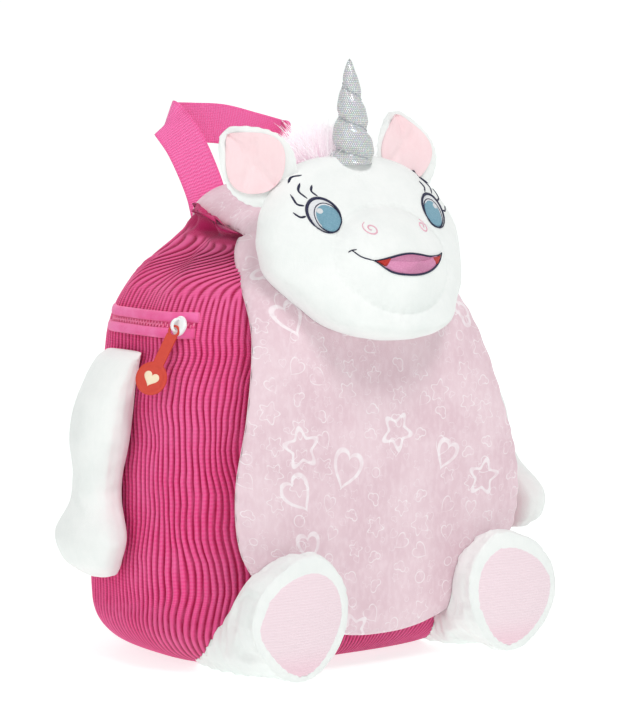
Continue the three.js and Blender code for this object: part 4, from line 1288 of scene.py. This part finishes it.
mane = bmesh.new()
tone = mane.loops.layers.uv.new("UVMap")
for number in range(STRANDS):
    around, out = dice.uniform(0, 2 * math.pi), math.sqrt(dice.random())
    across, back = math.cos(around) * out, math.sin(around) * out
    rise = math.sqrt(max(0, 1 - out * out))
    rooted = Vector((across * MANE_HALF.x * 0.85, back * MANE_HALF.y * 0.85, rise * MANE_HALF.z * 0.7))
    root = MANE_MIDDLE + rooted
    length = dice.uniform(*STRAND_LENGTHS)
    lean = Vector((across * 0.95, back * 0.8 + 0.1, 0.55 + 0.5 * rise)).normalized()
    wild = Vector((dice.gauss(0, 0.22), dice.gauss(0, 0.22), dice.gauss(0, 0.16)))
    tip = root + (lean + wild) * length
    curl = [dice.gauss(0, 2.4) for _ in range(3)]
    faces_before = len(mane.faces)
    add_strand(mane, root, tip, dice.uniform(*STRAND_RADII), curl)
    mane.faces.ensure_lookup_table()
    shade = dice.random()
    for face in mane.faces[faces_before:]:
        for loop in face.loops:
            loop[tone].uv = (shade, 0.5 + 0.5 * (loop.vert.co - in_frame(root)).length / (length * MM))
fur = linked_object("mane_fur", mane)
pad = skin("mane_pad", 40, 24, mane_pad)

# %% [markdown]
# Each lock has its own tone of pink, and its tip is paler. Light that passes through the thin hair is
# stood in for by a weak glow of its own colour.

# %% Fur
fur_look = Look("pink_fur", Roughness=0.6, Sheen_Weight=0.4, Sheen_Roughness=0.4)
shade, along, _ = fur_look.split(fur_look.coordinates("UV"))
dyed = fur_look.mix(shade.step(0.3, 0.75), (0.97, 0.88, 0.92), (0.96, 0.7, 0.82))
dyed = fur_look.mix(along.step(0.55, 1.0), dyed, (1.0, 0.94, 0.97))
fur_look.paint(Base_Color=dyed, Emission_Color=dyed, Emission_Strength=0.2)
dress(fur, fur_look.material, "fur", "mane")
press(pad, [head_tree, flap_tree], Vector((0, 0, -1)))
pad_look = plush("mane_backing", (0.95, 0.8, 0.87), (0.9, 0.66, 0.77))
dress(pad, pad_look, "fur", "mane", fill=0.5)

# %% [markdown]
# ## Arms
#
# An arm is a stuffed tube, sewn flat at its shoulder and swelling to a hoof. It is read from a table like
# the sack's, with the share of the length, of the width and of the thickness, and hangs close to the sack.

# %% Arms
ARM_LENGTH, ARM_WIDTH, ARM_THICKNESS, ARM_TOP_UP, ARM_BACK = 145, 60, 36, 0.722, 3
SWINGS = {"right": 2, "left": -25}
ARM_ROWS = [
    (0.0, 0.64, 0.2),
    (0.05, 0.74, 0.5),
    (0.2, 0.8, 0.84),
    (0.38, 0.8, 0.92),
    (0.55, 0.62, 0.82),
    (0.66, 0.66, 0.82),
    (0.8, 1.1, 0.97),
    (0.92, 0.88, 0.82),
    (0.98, 0.56, 0.5),
]


def sack_side(y, z):
    """How far to the side the sack's face is, at a place along it and up it."""
    _, wide, deep, _ = read_table(SACK_ROWS, row_where(SACK_ROWS, z / SACK_HEIGHT))
    share = min(abs(y + SACK_FORWARD) / (SACK_DEPTH / 2 * deep), 0.97)
    return SACK_WIDTH / 2 * wide * bulge(share, CORNERING)


def limb_row(rows, v):
    """The table's row at a share along a limb, and the share of its ring that closes its ends."""
    row = (len(rows) - 1) * min(max((v - 0.02) / 0.96, 0), 1)
    closing = min(1, v / 0.02, (1 - v) / 0.02)
    return read_table(rows, row), closing**0.5


def arm_cloth(side, swing):
    angle = math.radians(swing)
    shoulder = ARM_BACK - SACK_FORWARD

    def place(u, v):
        (share, wide, thick), closing = limb_row(ARM_ROWS, v)
        if v > 0.98:
            share += (1 - share) * (v - 0.98) / 0.02
        turn = 2 * math.pi * u
        cosine, sine = math.cos(turn) * closing, math.sin(turn) * closing
        along = ARM_LENGTH * share
        z = ARM_TOP_UP * SACK_HEIGHT - along * math.cos(angle)
        half_thick = ARM_THICKNESS / 2 * thick
        dents = 0.9 * soft_noise(side * 4 + 2 * math.cos(turn), 2 * math.sin(turn), share * 6)
        seam = 0.8 * math.exp(-((abs(sine) - 1) ** 2) / 0.0015) * (1 if share > 0.03 else 0)
        pucker = 0.35 * math.sin(70 * share) * abs(sine) ** 10
        middle = sack_side(shoulder, z) + 0.9 * half_thick + 3 * share**2
        x = side * middle + cosine * (half_thick + dents)
        y = shoulder + along * math.sin(angle) - sine * (ARM_WIDTH * wide / 2 - seam + pucker + dents)
        return Vector((x, y, z))

    return place


# %% [markdown]
# ## Legs
#
# A leg lies on the ground, gathers into folds at the ankle and ends in a big round foot. Its table has a
# fourth column, for how high the middle of each section lies. A domed sole closes the foot.

# %% Legs
LEG_LENGTH, LEG_WIDTH, LEG_HEIGHT = 106, 76, 86
LEG_MIDDLE = SACK_WIDTH / 2 * 0.63
SOLE_FORWARD = SACK_DEPTH / 2 + 51
SOLE_WIDTH, SOLE_HEIGHT, SOLE_CROWN = 67, 72, 5
LEG_ROWS = [
    (0.0, 0.5, 0.36, 0.2),
    (0.16, 0.54, 0.4, 0.215),
    (0.34, 0.56, 0.44, 0.23),
    (0.5, 0.6, 0.52, 0.27),
    (0.66, 0.76, 0.76, 0.385),
    (0.82, 0.95, 0.97, 0.49),
    (0.94, 1.0, 1.0, 0.502),
    (1.0, 0.92, 0.92, 0.5),
]


def egg(side, turn, share):
    """How a foot's outline departs from an ellipse: narrow below and slack on the inner side."""
    below = max(-math.sin(turn), 0) ** 1.5
    slack = 0.045 * math.cos(2 * turn + 0.9 * side) + 0.03 * math.sin(3 * turn + side)
    return 1 + share * (slack - 0.02), 1 - 0.15 * share * below


def draw_leg(side):
    def place(u, v):
        (share, wide, tall, rise), closing = limb_row(LEG_ROWS, v)
        turn = 2 * math.pi * u
        cosine, sine = math.cos(turn) * closing, math.sin(turn) * closing
        ankle = math.exp(-(((share - 0.34) / 0.24) ** 2))
        wander = 3 * soft_noise(2 * cosine, 2 * sine, side)
        wrinkle = 1.5 * ankle * math.sin(62 * share + 2.4 * math.sin(turn) + wander)
        dents = 1.0 * soft_noise(2 * cosine + side * 5, 2 * sine, share * 5)
        seam = 1.1 * math.exp(-(((share - 0.955) / 0.02) ** 2))
        pucker = 0.4 * math.exp(-(((share - 0.93) / 0.04) ** 2)) * math.sin(SOLE_PUCKERS * turn)
        out = wrinkle + dents - seam + pucker
        slack, narrow = egg(side, turn, smooth_step(share, 0.5, 0.85))
        x = side * LEG_MIDDLE + cosine * (LEG_WIDTH / 2 * wide * slack + out) * narrow
        z = LEG_HEIGHT * rise + sine * (LEG_HEIGHT * tall / 2 * min(slack, 1) + out)
        y = LEG_LENGTH * (1 - share) - SOLE_FORWARD
        return Vector((x, y, max(z, 1.1 - 0.35 * abs(cosine))))

    return place


SOLE_FRONT, SOLE_PUCKERS = 0.75, 34


def draw_sole(side):
    """A thin domed pad over the end of the leg, sewn in all round."""

    def place(u, v):
        turn = 2 * math.pi * u
        is_front = v < SOLE_FRONT
        share = v / SOLE_FRONT if is_front else (1 - v) / (1 - SOLE_FRONT)
        pucker = 0.35 * math.sin(SOLE_PUCKERS * turn) * share**6
        crown = SOLE_CROWN * (1 - share**2.2) + 1.6 * (1 - share**14) if is_front else 0.2
        waves = soft_noise(3 * share * math.cos(turn), 3 * share * math.sin(turn), side)
        crown += 0.7 * waves * (1 - share)
        slack, narrow = egg(side, turn, 1)
        x = side * LEG_MIDDLE + math.cos(turn) * share * (SOLE_WIDTH / 2 * slack + pucker) * narrow
        z = LEG_HEIGHT * LEG_ROWS[-1][3] + math.sin(turn) * share * (SOLE_HEIGHT / 2 * slack + pucker)
        return Vector((x, -SOLE_FORWARD - 0.2 - crown, z))

    return place


# %% [markdown]
# The soles are a ribbed pink plush. Its ribs run level and waver a little, and the cloth is a deeper pink
# just above the floor.

# %% Sole plush and the limbs before stuffing
sole_plush = Look("sole_plush", Roughness=0.9, Sheen_Weight=0.35, Sheen_Roughness=0.45)
sole_plush.paint(Specular_IOR_Level=0.15)
place = sole_plush.coordinates("Object")
across, _, height = sole_plush.split(place)
wave = sole_plush.noise(place, 22, 2) * 9
ribs = sole_plush.math("SINE", height * 3600 + wave) * 0.5 + 0.5
nap = sole_plush.noise(place, 1500, 3)
near_floor = 1 - height.step(0.004, 0.03)
tint = sole_plush.mix(ribs * 0.3 + nap * 0.6, (0.87, 0.68, 0.74), (0.93, 0.78, 0.83))
tint = sole_plush.mix(near_floor * 0.5, tint, (0.9, 0.5, 0.62))
sole_plush.paint(Base_Color=tint, Normal=sole_plush.bump(ribs * 0.4 + nap * 0.6, 0.3))

limbs = {}
for side, name in ((-1, "right"), (1, "left")):
    limbs[f"arm_{name}"] = skin(f"plush_arm_{name}", 96, 110, arm_cloth(side, SWINGS[name]))
    limbs[f"leg_{name}"] = skin(f"plush_leg_{name}", 110, 120, draw_leg(side))
print(", ".join(limbs), "are ready to be stuffed")

# %% [markdown]
# A stuffed limb is cloth that is a little too large for its shape, held out by its filling. Blender's Cloth
# does that: pressure is the filling, and a negative shrink gives the cloth a little more than it needs, so
# that it wrinkles by itself. The result is written into the mesh, no corner moves further than a cap, and
# the wrinkles are eased once so that no sharp crumple is left.

# %% Stuffing the limbs
STUFFING_FRAMES, STUFFING_PRESSURE, STUFFING_CAP = 20, 4, 3.2
SPARE_CLOTH = {"arm": -0.006, "leg": -0.045}
FLOOR_ROOM = 0.8


def stuff(pieces):
    for piece in pieces:
        cloth = piece.modifiers.new("stuffing", "CLOTH")
        cloth.settings.quality = 5
        cloth.settings.use_pressure = True
        cloth.settings.uniform_pressure_force = STUFFING_PRESSURE
        cloth.settings.shrink_min = SPARE_CLOTH[piece.name.split("_")[1]]
        cloth.settings.bending_stiffness = 1.2
        cloth.settings.effector_weights.gravity = 0
        cloth.point_cache.frame_end = STUFFING_FRAMES
    for frame in range(1, STUFFING_FRAMES + 1):
        bpy.context.scene.frame_set(frame)
    depsgraph = bpy.context.evaluated_depsgraph_get()
    results = [piece.evaluated_get(depsgraph) for piece in pieces]
    swollen = [[vert.co.copy() for vert in result.data.vertices] for result in results]
    for piece, targets in zip(pieces, swollen):
        piece.modifiers.clear()
        moves = [target - vert.co for vert, target in zip(piece.data.vertices, targets)]
        for vert, move in zip(piece.data.vertices, moves):
            move.length = min(move.length, STUFFING_CAP * MM)
            vert.co += move
        eased = bmesh.new()
        eased.from_mesh(piece.data)
        axes = {f"use_axis_{axis}": True for axis in "xyz"}
        bmesh.ops.smooth_vert(eased, verts=eased.verts, factor=0.5, **axes)
        for vert in eased.verts:
            vert.co.z = max(vert.co.z, FLOOR_ROOM * MM)
        eased.to_mesh(piece.data)
        eased.free()
        most = max(move.length for move in moves)
        print(piece.name, "was stuffed, at most", round(most / MM, 1), "mm")
    bpy.context.scene.frame_set(1)


stuff(list(limbs.values()))
for side, name in ((-1, "right"), (1, "left")):
    arm, leg = limbs[f"arm_{name}"], limbs[f"leg_{name}"]
    press(arm, [sack_tree], Vector((-side, 0, 0)))
    dress(arm, white_plush, "plush", f"arm_{name}", fill=0.75)
    press(leg, [flap_tree, sack_tree], BACKWARDS)
    dress(leg, white_plush, "plush", f"leg_{name}", fill=0.85)
    sole = skin(f"plush_sole_{name}", 102, 40, draw_sole(side))
    dress(sole, sole_plush.material, "sole_cloth", f"sole_{name}", fill=0.5)

# %% [markdown]
# ## Webbing
#
# The carry loop is one length of 27 mm polyester webbing. Both ends are sewn into the seam at the back of
# the mouth, and the band turns on its edge as it goes round, which folds a crease at each corner. Webbing
# is woven flat, so its weave follows the ribbon's own map.


# %% A ribbon through stations
def ribbon(name, rows, columns, cells, edge_power=8):
    """A flat closed strip. A row of its table is a place, the way across, a width and a thickness."""
    last = len(rows) - 1
    reads = {}

    def station(v):
        if v not in reads:
            here = read_table(rows, v * last)
            before = Vector(read_table(rows, max(v - 0.01, 0) * last)[:3])
            after = Vector(read_table(rows, min(v + 0.01, 1) * last)[:3])
            heading = (after - before).normalized()
            across = Vector(here[3:6])
            across = (across - heading * across.dot(heading)).normalized()
            reads[v] = Vector(here[:3]), across, across.cross(heading), here[6], here[7]
        return reads[v]

    def place(u, v):
        centre, across, face, width, thickness = station(v)
        turn = 2 * math.pi * u
        side = squared(math.cos(turn), 0.7)
        through = bulge(side, edge_power, math.sin(turn))
        if v in (0.0, 1.0):
            through = 0
        return centre + across * side * width / 2 + face * through * thickness / 2

    steps = 60
    middles = [Vector(read_table(rows, last * i / steps)[:3]) for i in range(steps + 1)]
    length = sum((after - before).length for before, after in zip(middles, middles[1:]))

    def pattern(u, v):
        return squared(math.cos(2 * math.pi * u), 0.7) * station(v)[3] / 2, v * length

    return skin(name, columns, cells, place, pattern)


WEBBING_WIDTH, WEBBING_THICKNESS = 27, 2
HANDLE_HALF_SPAN, HANDLE_RISE, HANDLE_LEAN, HANDLE_SEAM_UP = 50, 71, 24, 0.965
HANDLE_SAG = 15
# Shares of the half span, the lean and the rise, then the way across the band.
HANDLE_ROWS = [
    (0.5, 0, 0, 0.96, -0.28, 0),
    (0.58, 0.14, 0.34, 0.92, -0.34, 0.18),
    (0.8, 0.34, 0.74, 0.72, -0.4, 0.56),
    (0.99, 0.6, 0.98, 0.36, -0.3, 0.88),
    (0.88, 0.9, 0.97, 0.08, -0.16, 0.98),
    (0.5, 1.02, 0.96, 0, -0.1, 1),
    (0.0, 1.05, 0.94, 0, -0.08, 1),
]
seam = sack_point(BACK, row_where(SACK_ROWS, HANDLE_SEAM_UP))
near_rows = [
    (
        -HANDLE_HALF_SPAN * side,
        seam.y + HANDLE_LEAN * back,
        seam.z + HANDLE_RISE * up,
        *across,
        WEBBING_WIDTH,
        WEBBING_THICKNESS,
    )
    for side, back, up, *across in HANDLE_ROWS
]


def far_side(row):
    """A station of the far half: mirrored, and lower the higher and further out it is."""
    x, y, z, across_x, across_y, across_z, *size = row
    sag = HANDLE_SAG * x / HANDLE_HALF_SPAN * (z - seam.z) / HANDLE_RISE
    return -x, y, z + sag, -across_x, across_y, across_z, *size


far_rows = [far_side(row) for row in near_rows[-2::-1]]
handle = ribbon("carry_loop", near_rows + far_rows, 40, 220)


# %% Webbing material
def webbing(name, light, dark):
    look = Look(name, Roughness=0.55, Sheen_Weight=0.25, Sheen_Roughness=0.35)
    look.paint(Specular_IOR_Level=0.35)
    across, along, _ = look.split(look.coordinates("UV"))
    zigzag = look.math("ABSOLUTE", look.math("FRACT", across * 180) - 0.5) * 2
    weft = look.math("SINE", (along * 1000 + zigzag * 0.35) * (2 * math.pi / 1.5)) * 0.5 + 0.5
    warp = look.math("SINE", across * (1000 * 2 * math.pi / 1.1)) * 0.5 + 0.5
    fuzz = look.noise(look.coordinates("Object"), 1200, 2)
    height = weft * 0.6 + warp * 0.4
    border = look.math("ABSOLUTE", across).step(0.0112, 0.0122)
    colour = look.mix(height * 0.8 + fuzz * 0.2, dark, light)
    colour = look.mix(border * 0.4, colour, dark)
    return look.paint(Base_Color=colour, Normal=look.bump(height + fuzz * 0.3, 0.35))


pink_webbing = webbing("pink_webbing", (1.0, 0.24, 0.56), (0.98, 0.11, 0.37))
dress(handle, pink_webbing, "webbing", "carry_handle")

# %% [markdown]
# ## Shoulder straps
#
# The picture doesn't show the back, so the straps there are the plain kind that such a pack has: padded
# above, webbing below, with a slide to set the length. They ride out from the back in a shallow bow.

# %% Shoulder straps
STRAP_WIDTH, STRAP_THICKNESS, STRAP_PAD_END = 40, 6, 0.6
STRAP_STATIONS = (0, 0.05, 0.2, 0.4, 0.58, 0.64, 0.7, 0.85, 0.96, 1)
STRAP_TOP_X, STRAP_BOTTOM_X, STRAP_BOW, STRAP_TOP_UP, STRAP_BOTTOM_UP = 34, 80, 44, 0.87, 0.1


def sack_back(x, z):
    _, wide, deep, _ = read_table(SACK_ROWS, row_where(SACK_ROWS, z / SACK_HEIGHT))
    share = min(abs(x) / (SACK_WIDTH / 2 * wide), 0.97)
    return SACK_DEPTH / 2 * deep * bulge(share, CORNERING)


def strap_rows(side):
    rows = []
    for share in STRAP_STATIONS:
        z = SACK_HEIGHT * (STRAP_TOP_UP + (STRAP_BOTTOM_UP - STRAP_TOP_UP) * share)
        x = side * (STRAP_TOP_X + (STRAP_BOTTOM_X - STRAP_TOP_X) * share)
        y = sack_back(x, z) - SACK_FORWARD + STRAP_BOW * max(math.sin(math.pi * share), 0) ** 0.7
        is_padded = share < STRAP_PAD_END
        width = STRAP_WIDTH if is_padded else WEBBING_WIDTH
        thickness = STRAP_THICKNESS if is_padded else WEBBING_THICKNESS
        rows.append((x, y, z, 1, 0, side * 0.2, width, thickness))
    return rows


for side, name in ((-1, "right"), (1, "left")):
    strap = ribbon(f"shoulder_strap_cloth_{name}", strap_rows(side), 64, 160, 3.4)
    press(strap, [sack_tree], Vector((0, -1, 0)))
    dress(strap, pink_webbing, "webbing", f"shoulder_strap_{name}", fill=0.5)

# %% [markdown]
# The slide on each strap is moulded plastic, and its solid has the right shape, so it stays and only gets
# a finish: fine moulding grain, and paler edges where it has rubbed.

# %% Strap slides
moulded = Look("moulded_pink", Roughness=0.42, Specular_IOR_Level=0.5)
place = moulded.coordinates("Object")
grain = moulded.noise(place, 900, 3)
scuffs = moulded.noise(moulded.stretched(place, (60, 60, 700)), 1, 3).step(0.6, 0.75)
moulded.paint(
    Base_Color=moulded.mix(scuffs * 0.5, (0.72, 0.04, 0.17), (0.85, 0.25, 0.38)),
    Roughness=grain * 0.2 + 0.32,
    Normal=moulded.bump(grain, 0.08),
)
for name in ("strap_adjuster_right", "strap_adjuster_left"):
    slide = bpy.data.objects[name]
    slide.data.materials.clear()
    slide.data.materials.append(moulded.material)
    print(name, "keeps its own shape")

# %% [markdown]
# ## The side zip
#
# A zip is set into the right side between two rolled welts of plain pink cloth. Under them lies the tape
# with its two rows of small moulded teeth. The slider is white enamel, and a soft red tag hangs from it.

# %% Zip cloth and welts
ZIP_LENGTH, ZIP_FORWARD, ZIP_UP, ZIP_SLOPE = 92, 4, 0.811, 0.32
WELT_HEIGHT, WELT_THICKNESS, ZIP_GAP = 6.6, 4.4, 3.4
SLIDER_STAND_OFF, SLIDER_PLACE = 4.8, 0.95
ZIP_Z, ZIP_END_SUNK = ZIP_UP * SACK_HEIGHT - 6, 4.4


def zip_rows(middle, height, thickness, lift, length=ZIP_LENGTH):
    rows = []
    for i in range(7):
        y = -SACK_FORWARD - ZIP_FORWARD + length * (0.5 - i / 6)
        z = ZIP_Z + middle
        sunk = ZIP_END_SUNK if i in (0, 6) else 0
        rows.append((-sack_side(y, z) - lift + sunk, y, z, ZIP_SLOPE, 0, 1, height, thickness))
    return rows


zip_cloth = Look("zip_cloth", Roughness=0.8, Sheen_Weight=0.3)
zip_cloth.paint(Specular_IOR_Level=0.2)
across, along, _ = zip_cloth.split(zip_cloth.coordinates("UV"))
weave = zip_cloth.math("SINE", across * 9000) * zip_cloth.math("SINE", along * 9000) * 0.5 + 0.5
fuzz = zip_cloth.noise(zip_cloth.coordinates("Object"), 1100, 3)
faded = zip_cloth.noise(zip_cloth.coordinates("Object"), 60, 3).step(0.35, 0.7)
dyed = zip_cloth.mix(faded * 0.6 + weave * 0.2, (0.88, 0.09, 0.31), (0.98, 0.23, 0.52))
zip_cloth.paint(Base_Color=dyed, Normal=zip_cloth.bump(weave * 0.4 + fuzz * 0.6, 0.25))

WELT_LIFT = 1.6
for name, direction in (("upper", 1), ("lower", -1)):
    middle = direction * (ZIP_GAP + WELT_HEIGHT) / 2
    rows = zip_rows(middle, WELT_HEIGHT, WELT_THICKNESS, WELT_LIFT)
    welt = ribbon(f"rolled_welt_{name}", rows, 40, 90, 2.2)
    dress(welt, zip_cloth.material, "zip_cloth", f"zip_welt_{name}")
tape = ribbon("zip_tape", zip_rows(0, ZIP_GAP + 3, 0.8, 0.4), 16, 60)
dress(tape, zip_cloth.material, "zip_cloth")

# %% [markdown]
# The teeth are one tooth copied along the tape, every other one from the other side. A tooth is a small
# block with its corners bevelled.


# %% Zip teeth
def grained(name, scale, detail, dark, light, relief, **shader):
    """A moulded material, and the fine grain that varies its colour and its skin."""
    look = Look(name, **shader)
    grain = look.noise(look.coordinates("Object"), scale, detail)
    look.paint(Base_Color=look.mix(grain, dark, light), Normal=look.bump(grain, relief))
    return look, grain


TOOTH_PITCH, TOOTH_SIZE, TOOTH_ASIDE, TOOTH_BEVEL = 1.5, (1.05, 2.3, 1.3), 0.65, 0.2
plastic_shine = {"Roughness": 0.35, "Specular_IOR_Level": 0.5}
zip_plastic, _ = grained("zip_teeth", 700, 2, (0.85, 0.12, 0.3), (0.95, 0.3, 0.5), 0.08, **plastic_shine)
coil_rows = zip_rows(0, 1, 1, 1.6, ZIP_LENGTH - 4)
teeth = bmesh.new()
count = int((ZIP_LENGTH - 4) / TOOTH_PITCH)
for number in range(count):
    here = read_table(coil_rows, 6 * number / (count - 1))
    ahead = read_table(coil_rows, min(6 * (number + 0.5) / (count - 1), 6))
    behind = read_table(coil_rows, max(6 * (number - 0.5) / (count - 1), 0))
    heading = (Vector(ahead[:3]) - Vector(behind[:3])).normalized()
    upwards = Vector((ZIP_SLOPE, 0, 1)).normalized()
    outwards = upwards.cross(heading).normalized()
    side = 1 if number % 2 else -1
    ways = [way * size for way, size in zip((heading, upwards, outwards), TOOTH_SIZE)]
    axes = Matrix(ways).transposed().to_4x4()
    axes.translation = Vector(here[:3]) + upwards * side * TOOTH_ASIDE
    bmesh.ops.create_cube(teeth, size=1, matrix=axes)
rounding = {"affect": "EDGES", "segments": 1, "profile": 0.5, "material": -1}
bmesh.ops.bevel(teeth, geom=teeth.edges, offset=TOOTH_BEVEL, **rounding)
bmesh.ops.transform(teeth, matrix=Matrix.Translation(origin * MM) @ Matrix.Scale(MM, 4), verts=teeth.verts)
bmesh.ops.recalc_face_normals(teeth, faces=teeth.faces)
dress(linked_object("zip_teeth", teeth, smooth=False), zip_plastic.material, "zip_plastic", "zip_coil")

# %% [markdown]
# The slider is a die-cast shell with a waist and a domed top, and a thin bridge over it holds the tag. It
# is enamelled white, and the enamel has greyed a little where it is handled.

# %% Slider
SLIDER_LENGTH, SLIDER_WIDTH, SLIDER_THICKNESS, BRIDGE_RADIUS, BRIDGE_WIRE = 14, 12, 4, 4, 0.9
slider_y = -SACK_FORWARD - ZIP_FORWARD - ZIP_LENGTH * (SLIDER_PLACE - 0.5)
slider_place = Matrix.Translation(Vector((-sack_side(slider_y, ZIP_Z) - SLIDER_STAND_OFF, slider_y, ZIP_Z)))
slider_place = slider_place @ Matrix.Rotation(math.atan(ZIP_SLOPE), 4, "Y")


def slider_body(u, v):
    turn, lift = 2 * math.pi * u, math.pi * (v - 0.5)
    share = 0 if v in (0.0, 1.0) else max(math.cos(lift), 0) ** 0.45
    waist = 1 - 0.1 * math.cos(2 * turn)
    depth = SLIDER_THICKNESS / 2 * squared(math.sin(lift), 0.8)
    return slider_place @ Vector(
        (
            -depth,
            math.cos(turn) * share * SLIDER_LENGTH / 2,
            math.sin(turn) * share * SLIDER_WIDTH / 2 * waist,
        )
    )


def bridge(u, v):
    turn, ring = math.pi * (v * 1.16 - 0.08), 2 * math.pi * u
    thick = 0 if v in (0.0, 1.0) else BRIDGE_WIRE
    reach = BRIDGE_RADIUS + thick * math.cos(ring)
    out = -SLIDER_THICKNESS / 2 + 0.4 - reach * math.sin(turn)
    return slider_place @ Vector((out, 1.6 * thick * math.sin(ring), reach * math.cos(turn)))


enamel = Look("white_enamel", Roughness=0.28, Specular_IOR_Level=0.5, Coat_Weight=0.3)
wear = enamel.noise(enamel.coordinates("Object"), 500, 3)
enamel.paint(
    Base_Color=enamel.mix(wear.step(0.4, 0.7) * 0.5, (0.93, 0.94, 0.94), (0.83, 0.84, 0.86)),
    Roughness=wear * 0.25 + 0.15,
    Normal=enamel.bump(wear, 0.06),
)
dress(skin("zip_slider_body", 48, 30, slider_body), enamel.material, "slider_enamel", "zip_slider")
dress(skin("zip_slider_bridge", 16, 40, bridge), enamel.material, "slider_enamel", "zip_slider")

# %% [markdown]
# The tag is soft red rubber: an eye, a neck and a disc with a raised rim, and a plain cream heart moulded
# on it. It hangs from the bridge, turned a little, as the pack's side slopes under it.

# %% Tag
RED_DARK, RED_LIGHT = (0.58, 0.04, 0.022), (0.68, 0.065, 0.035)
rubber_shine = {"Roughness": 0.45, "Specular_IOR_Level": 0.45}
rubber, grain = grained("red_rubber", 350, 3, RED_DARK, RED_LIGHT, 0.1, **rubber_shine)
rubber.paint(Roughness=grain * 0.2 + 0.38)
CREAM_DARK, CREAM_LIGHT = (0.88, 0.72, 0.5), (0.95, 0.82, 0.62)
cream_shine = {"Roughness": 0.5, "Specular_IOR_Level": 0.4}
cream, _ = grained("cream_rubber", 350, 3, CREAM_DARK, CREAM_LIGHT, 0.1, **cream_shine)

TAG_LENGTH, TAG_NECK, TAG_DISC, TAG_THICKNESS, TAG_HOLE, TAG_CLEAR = 33, 8, 21, 1.5, 2.4, 0.6
TAG_LEAN, TAG_TURN = 12, 34
hang = Matrix.Translation(Vector((-SLIDER_THICKNESS / 2 - TAG_CLEAR, 0, -BRIDGE_RADIUS)))
hang = slider_place @ hang @ Matrix.Rotation(math.radians(TAG_TURN), 4, "Z")
hang = hang @ Matrix.Rotation(math.radians(TAG_LEAN), 4, "X")


def tag_eye(u, v):
    """The ring at the top, a flat band round the hole."""
    around, section = 2 * math.pi * u, 2 * math.pi * v
    reach = (TAG_NECK / 2 + TAG_HOLE) / 2 + (TAG_NECK / 2 - TAG_HOLE) / 2 * squared(math.cos(section))
    depth = TAG_THICKNESS / 2 * (1 + squared(math.sin(section)))
    return hang @ Vector((-depth, reach * math.cos(around), reach * math.sin(around)))


def tag_strap(u, v):
    """The neck and the disc: one flat strip, as wide as the wider of the two."""
    top, bottom = TAG_HOLE + 0.2, TAG_LENGTH + TAG_DISC / 2
    along = top + (bottom - top) * math.sin(math.pi * v / 2)
    disc = math.sqrt(max((TAG_DISC / 2) ** 2 - (along - TAG_LENGTH) ** 2, 0))
    neck = TAG_NECK / 2 - 0.3 if along < TAG_LENGTH else 0
    half = (disc**4 + neck**4) ** 0.25
    side = squared(math.cos(2 * math.pi * u), 0.7)
    through = bulge(side, 8, math.sin(2 * math.pi * u))
    if v in (0.0, 1.0):
        through = 0
    away = math.hypot(side * half, along - TAG_LENGTH) / (TAG_DISC / 2)
    rim = 0.35 * math.exp(-(((away - 0.86) / 0.06) ** 2)) if through > 0 else 0
    return hang @ Vector((-TAG_THICKNESS / 2 * (1 + through) - rim, side * half, -along))


def tag_heart(u, v):
    """A low heart in relief on the disc, from its middle to its edge and back behind."""
    t, is_front = 2 * math.pi * u, v < 0.5
    share = min(2 * v, 2 - 2 * v)
    across = 16 * math.sin(t) ** 3
    up = 13 * math.cos(t) - 5 * math.cos(2 * t) - 2 * math.cos(3 * t) - math.cos(4 * t)
    crown = 0.7 * (1 - share**6) if is_front else 0
    flat = Vector((-TAG_THICKNESS + 0.1 - crown, across * share * 0.34, up * share * 0.34 - TAG_LENGTH))
    return hang @ flat


dress(skin("red_tag_eye", 48, 24, tag_eye), rubber.material, "pull_rubber", "zip_pull")
dress(skin("red_tag", 64, 120, tag_strap), rubber.material, "pull_rubber", "zip_pull")
dress(skin("tag_heart", 64, 24, tag_heart), cream.material, "pull_rubber")
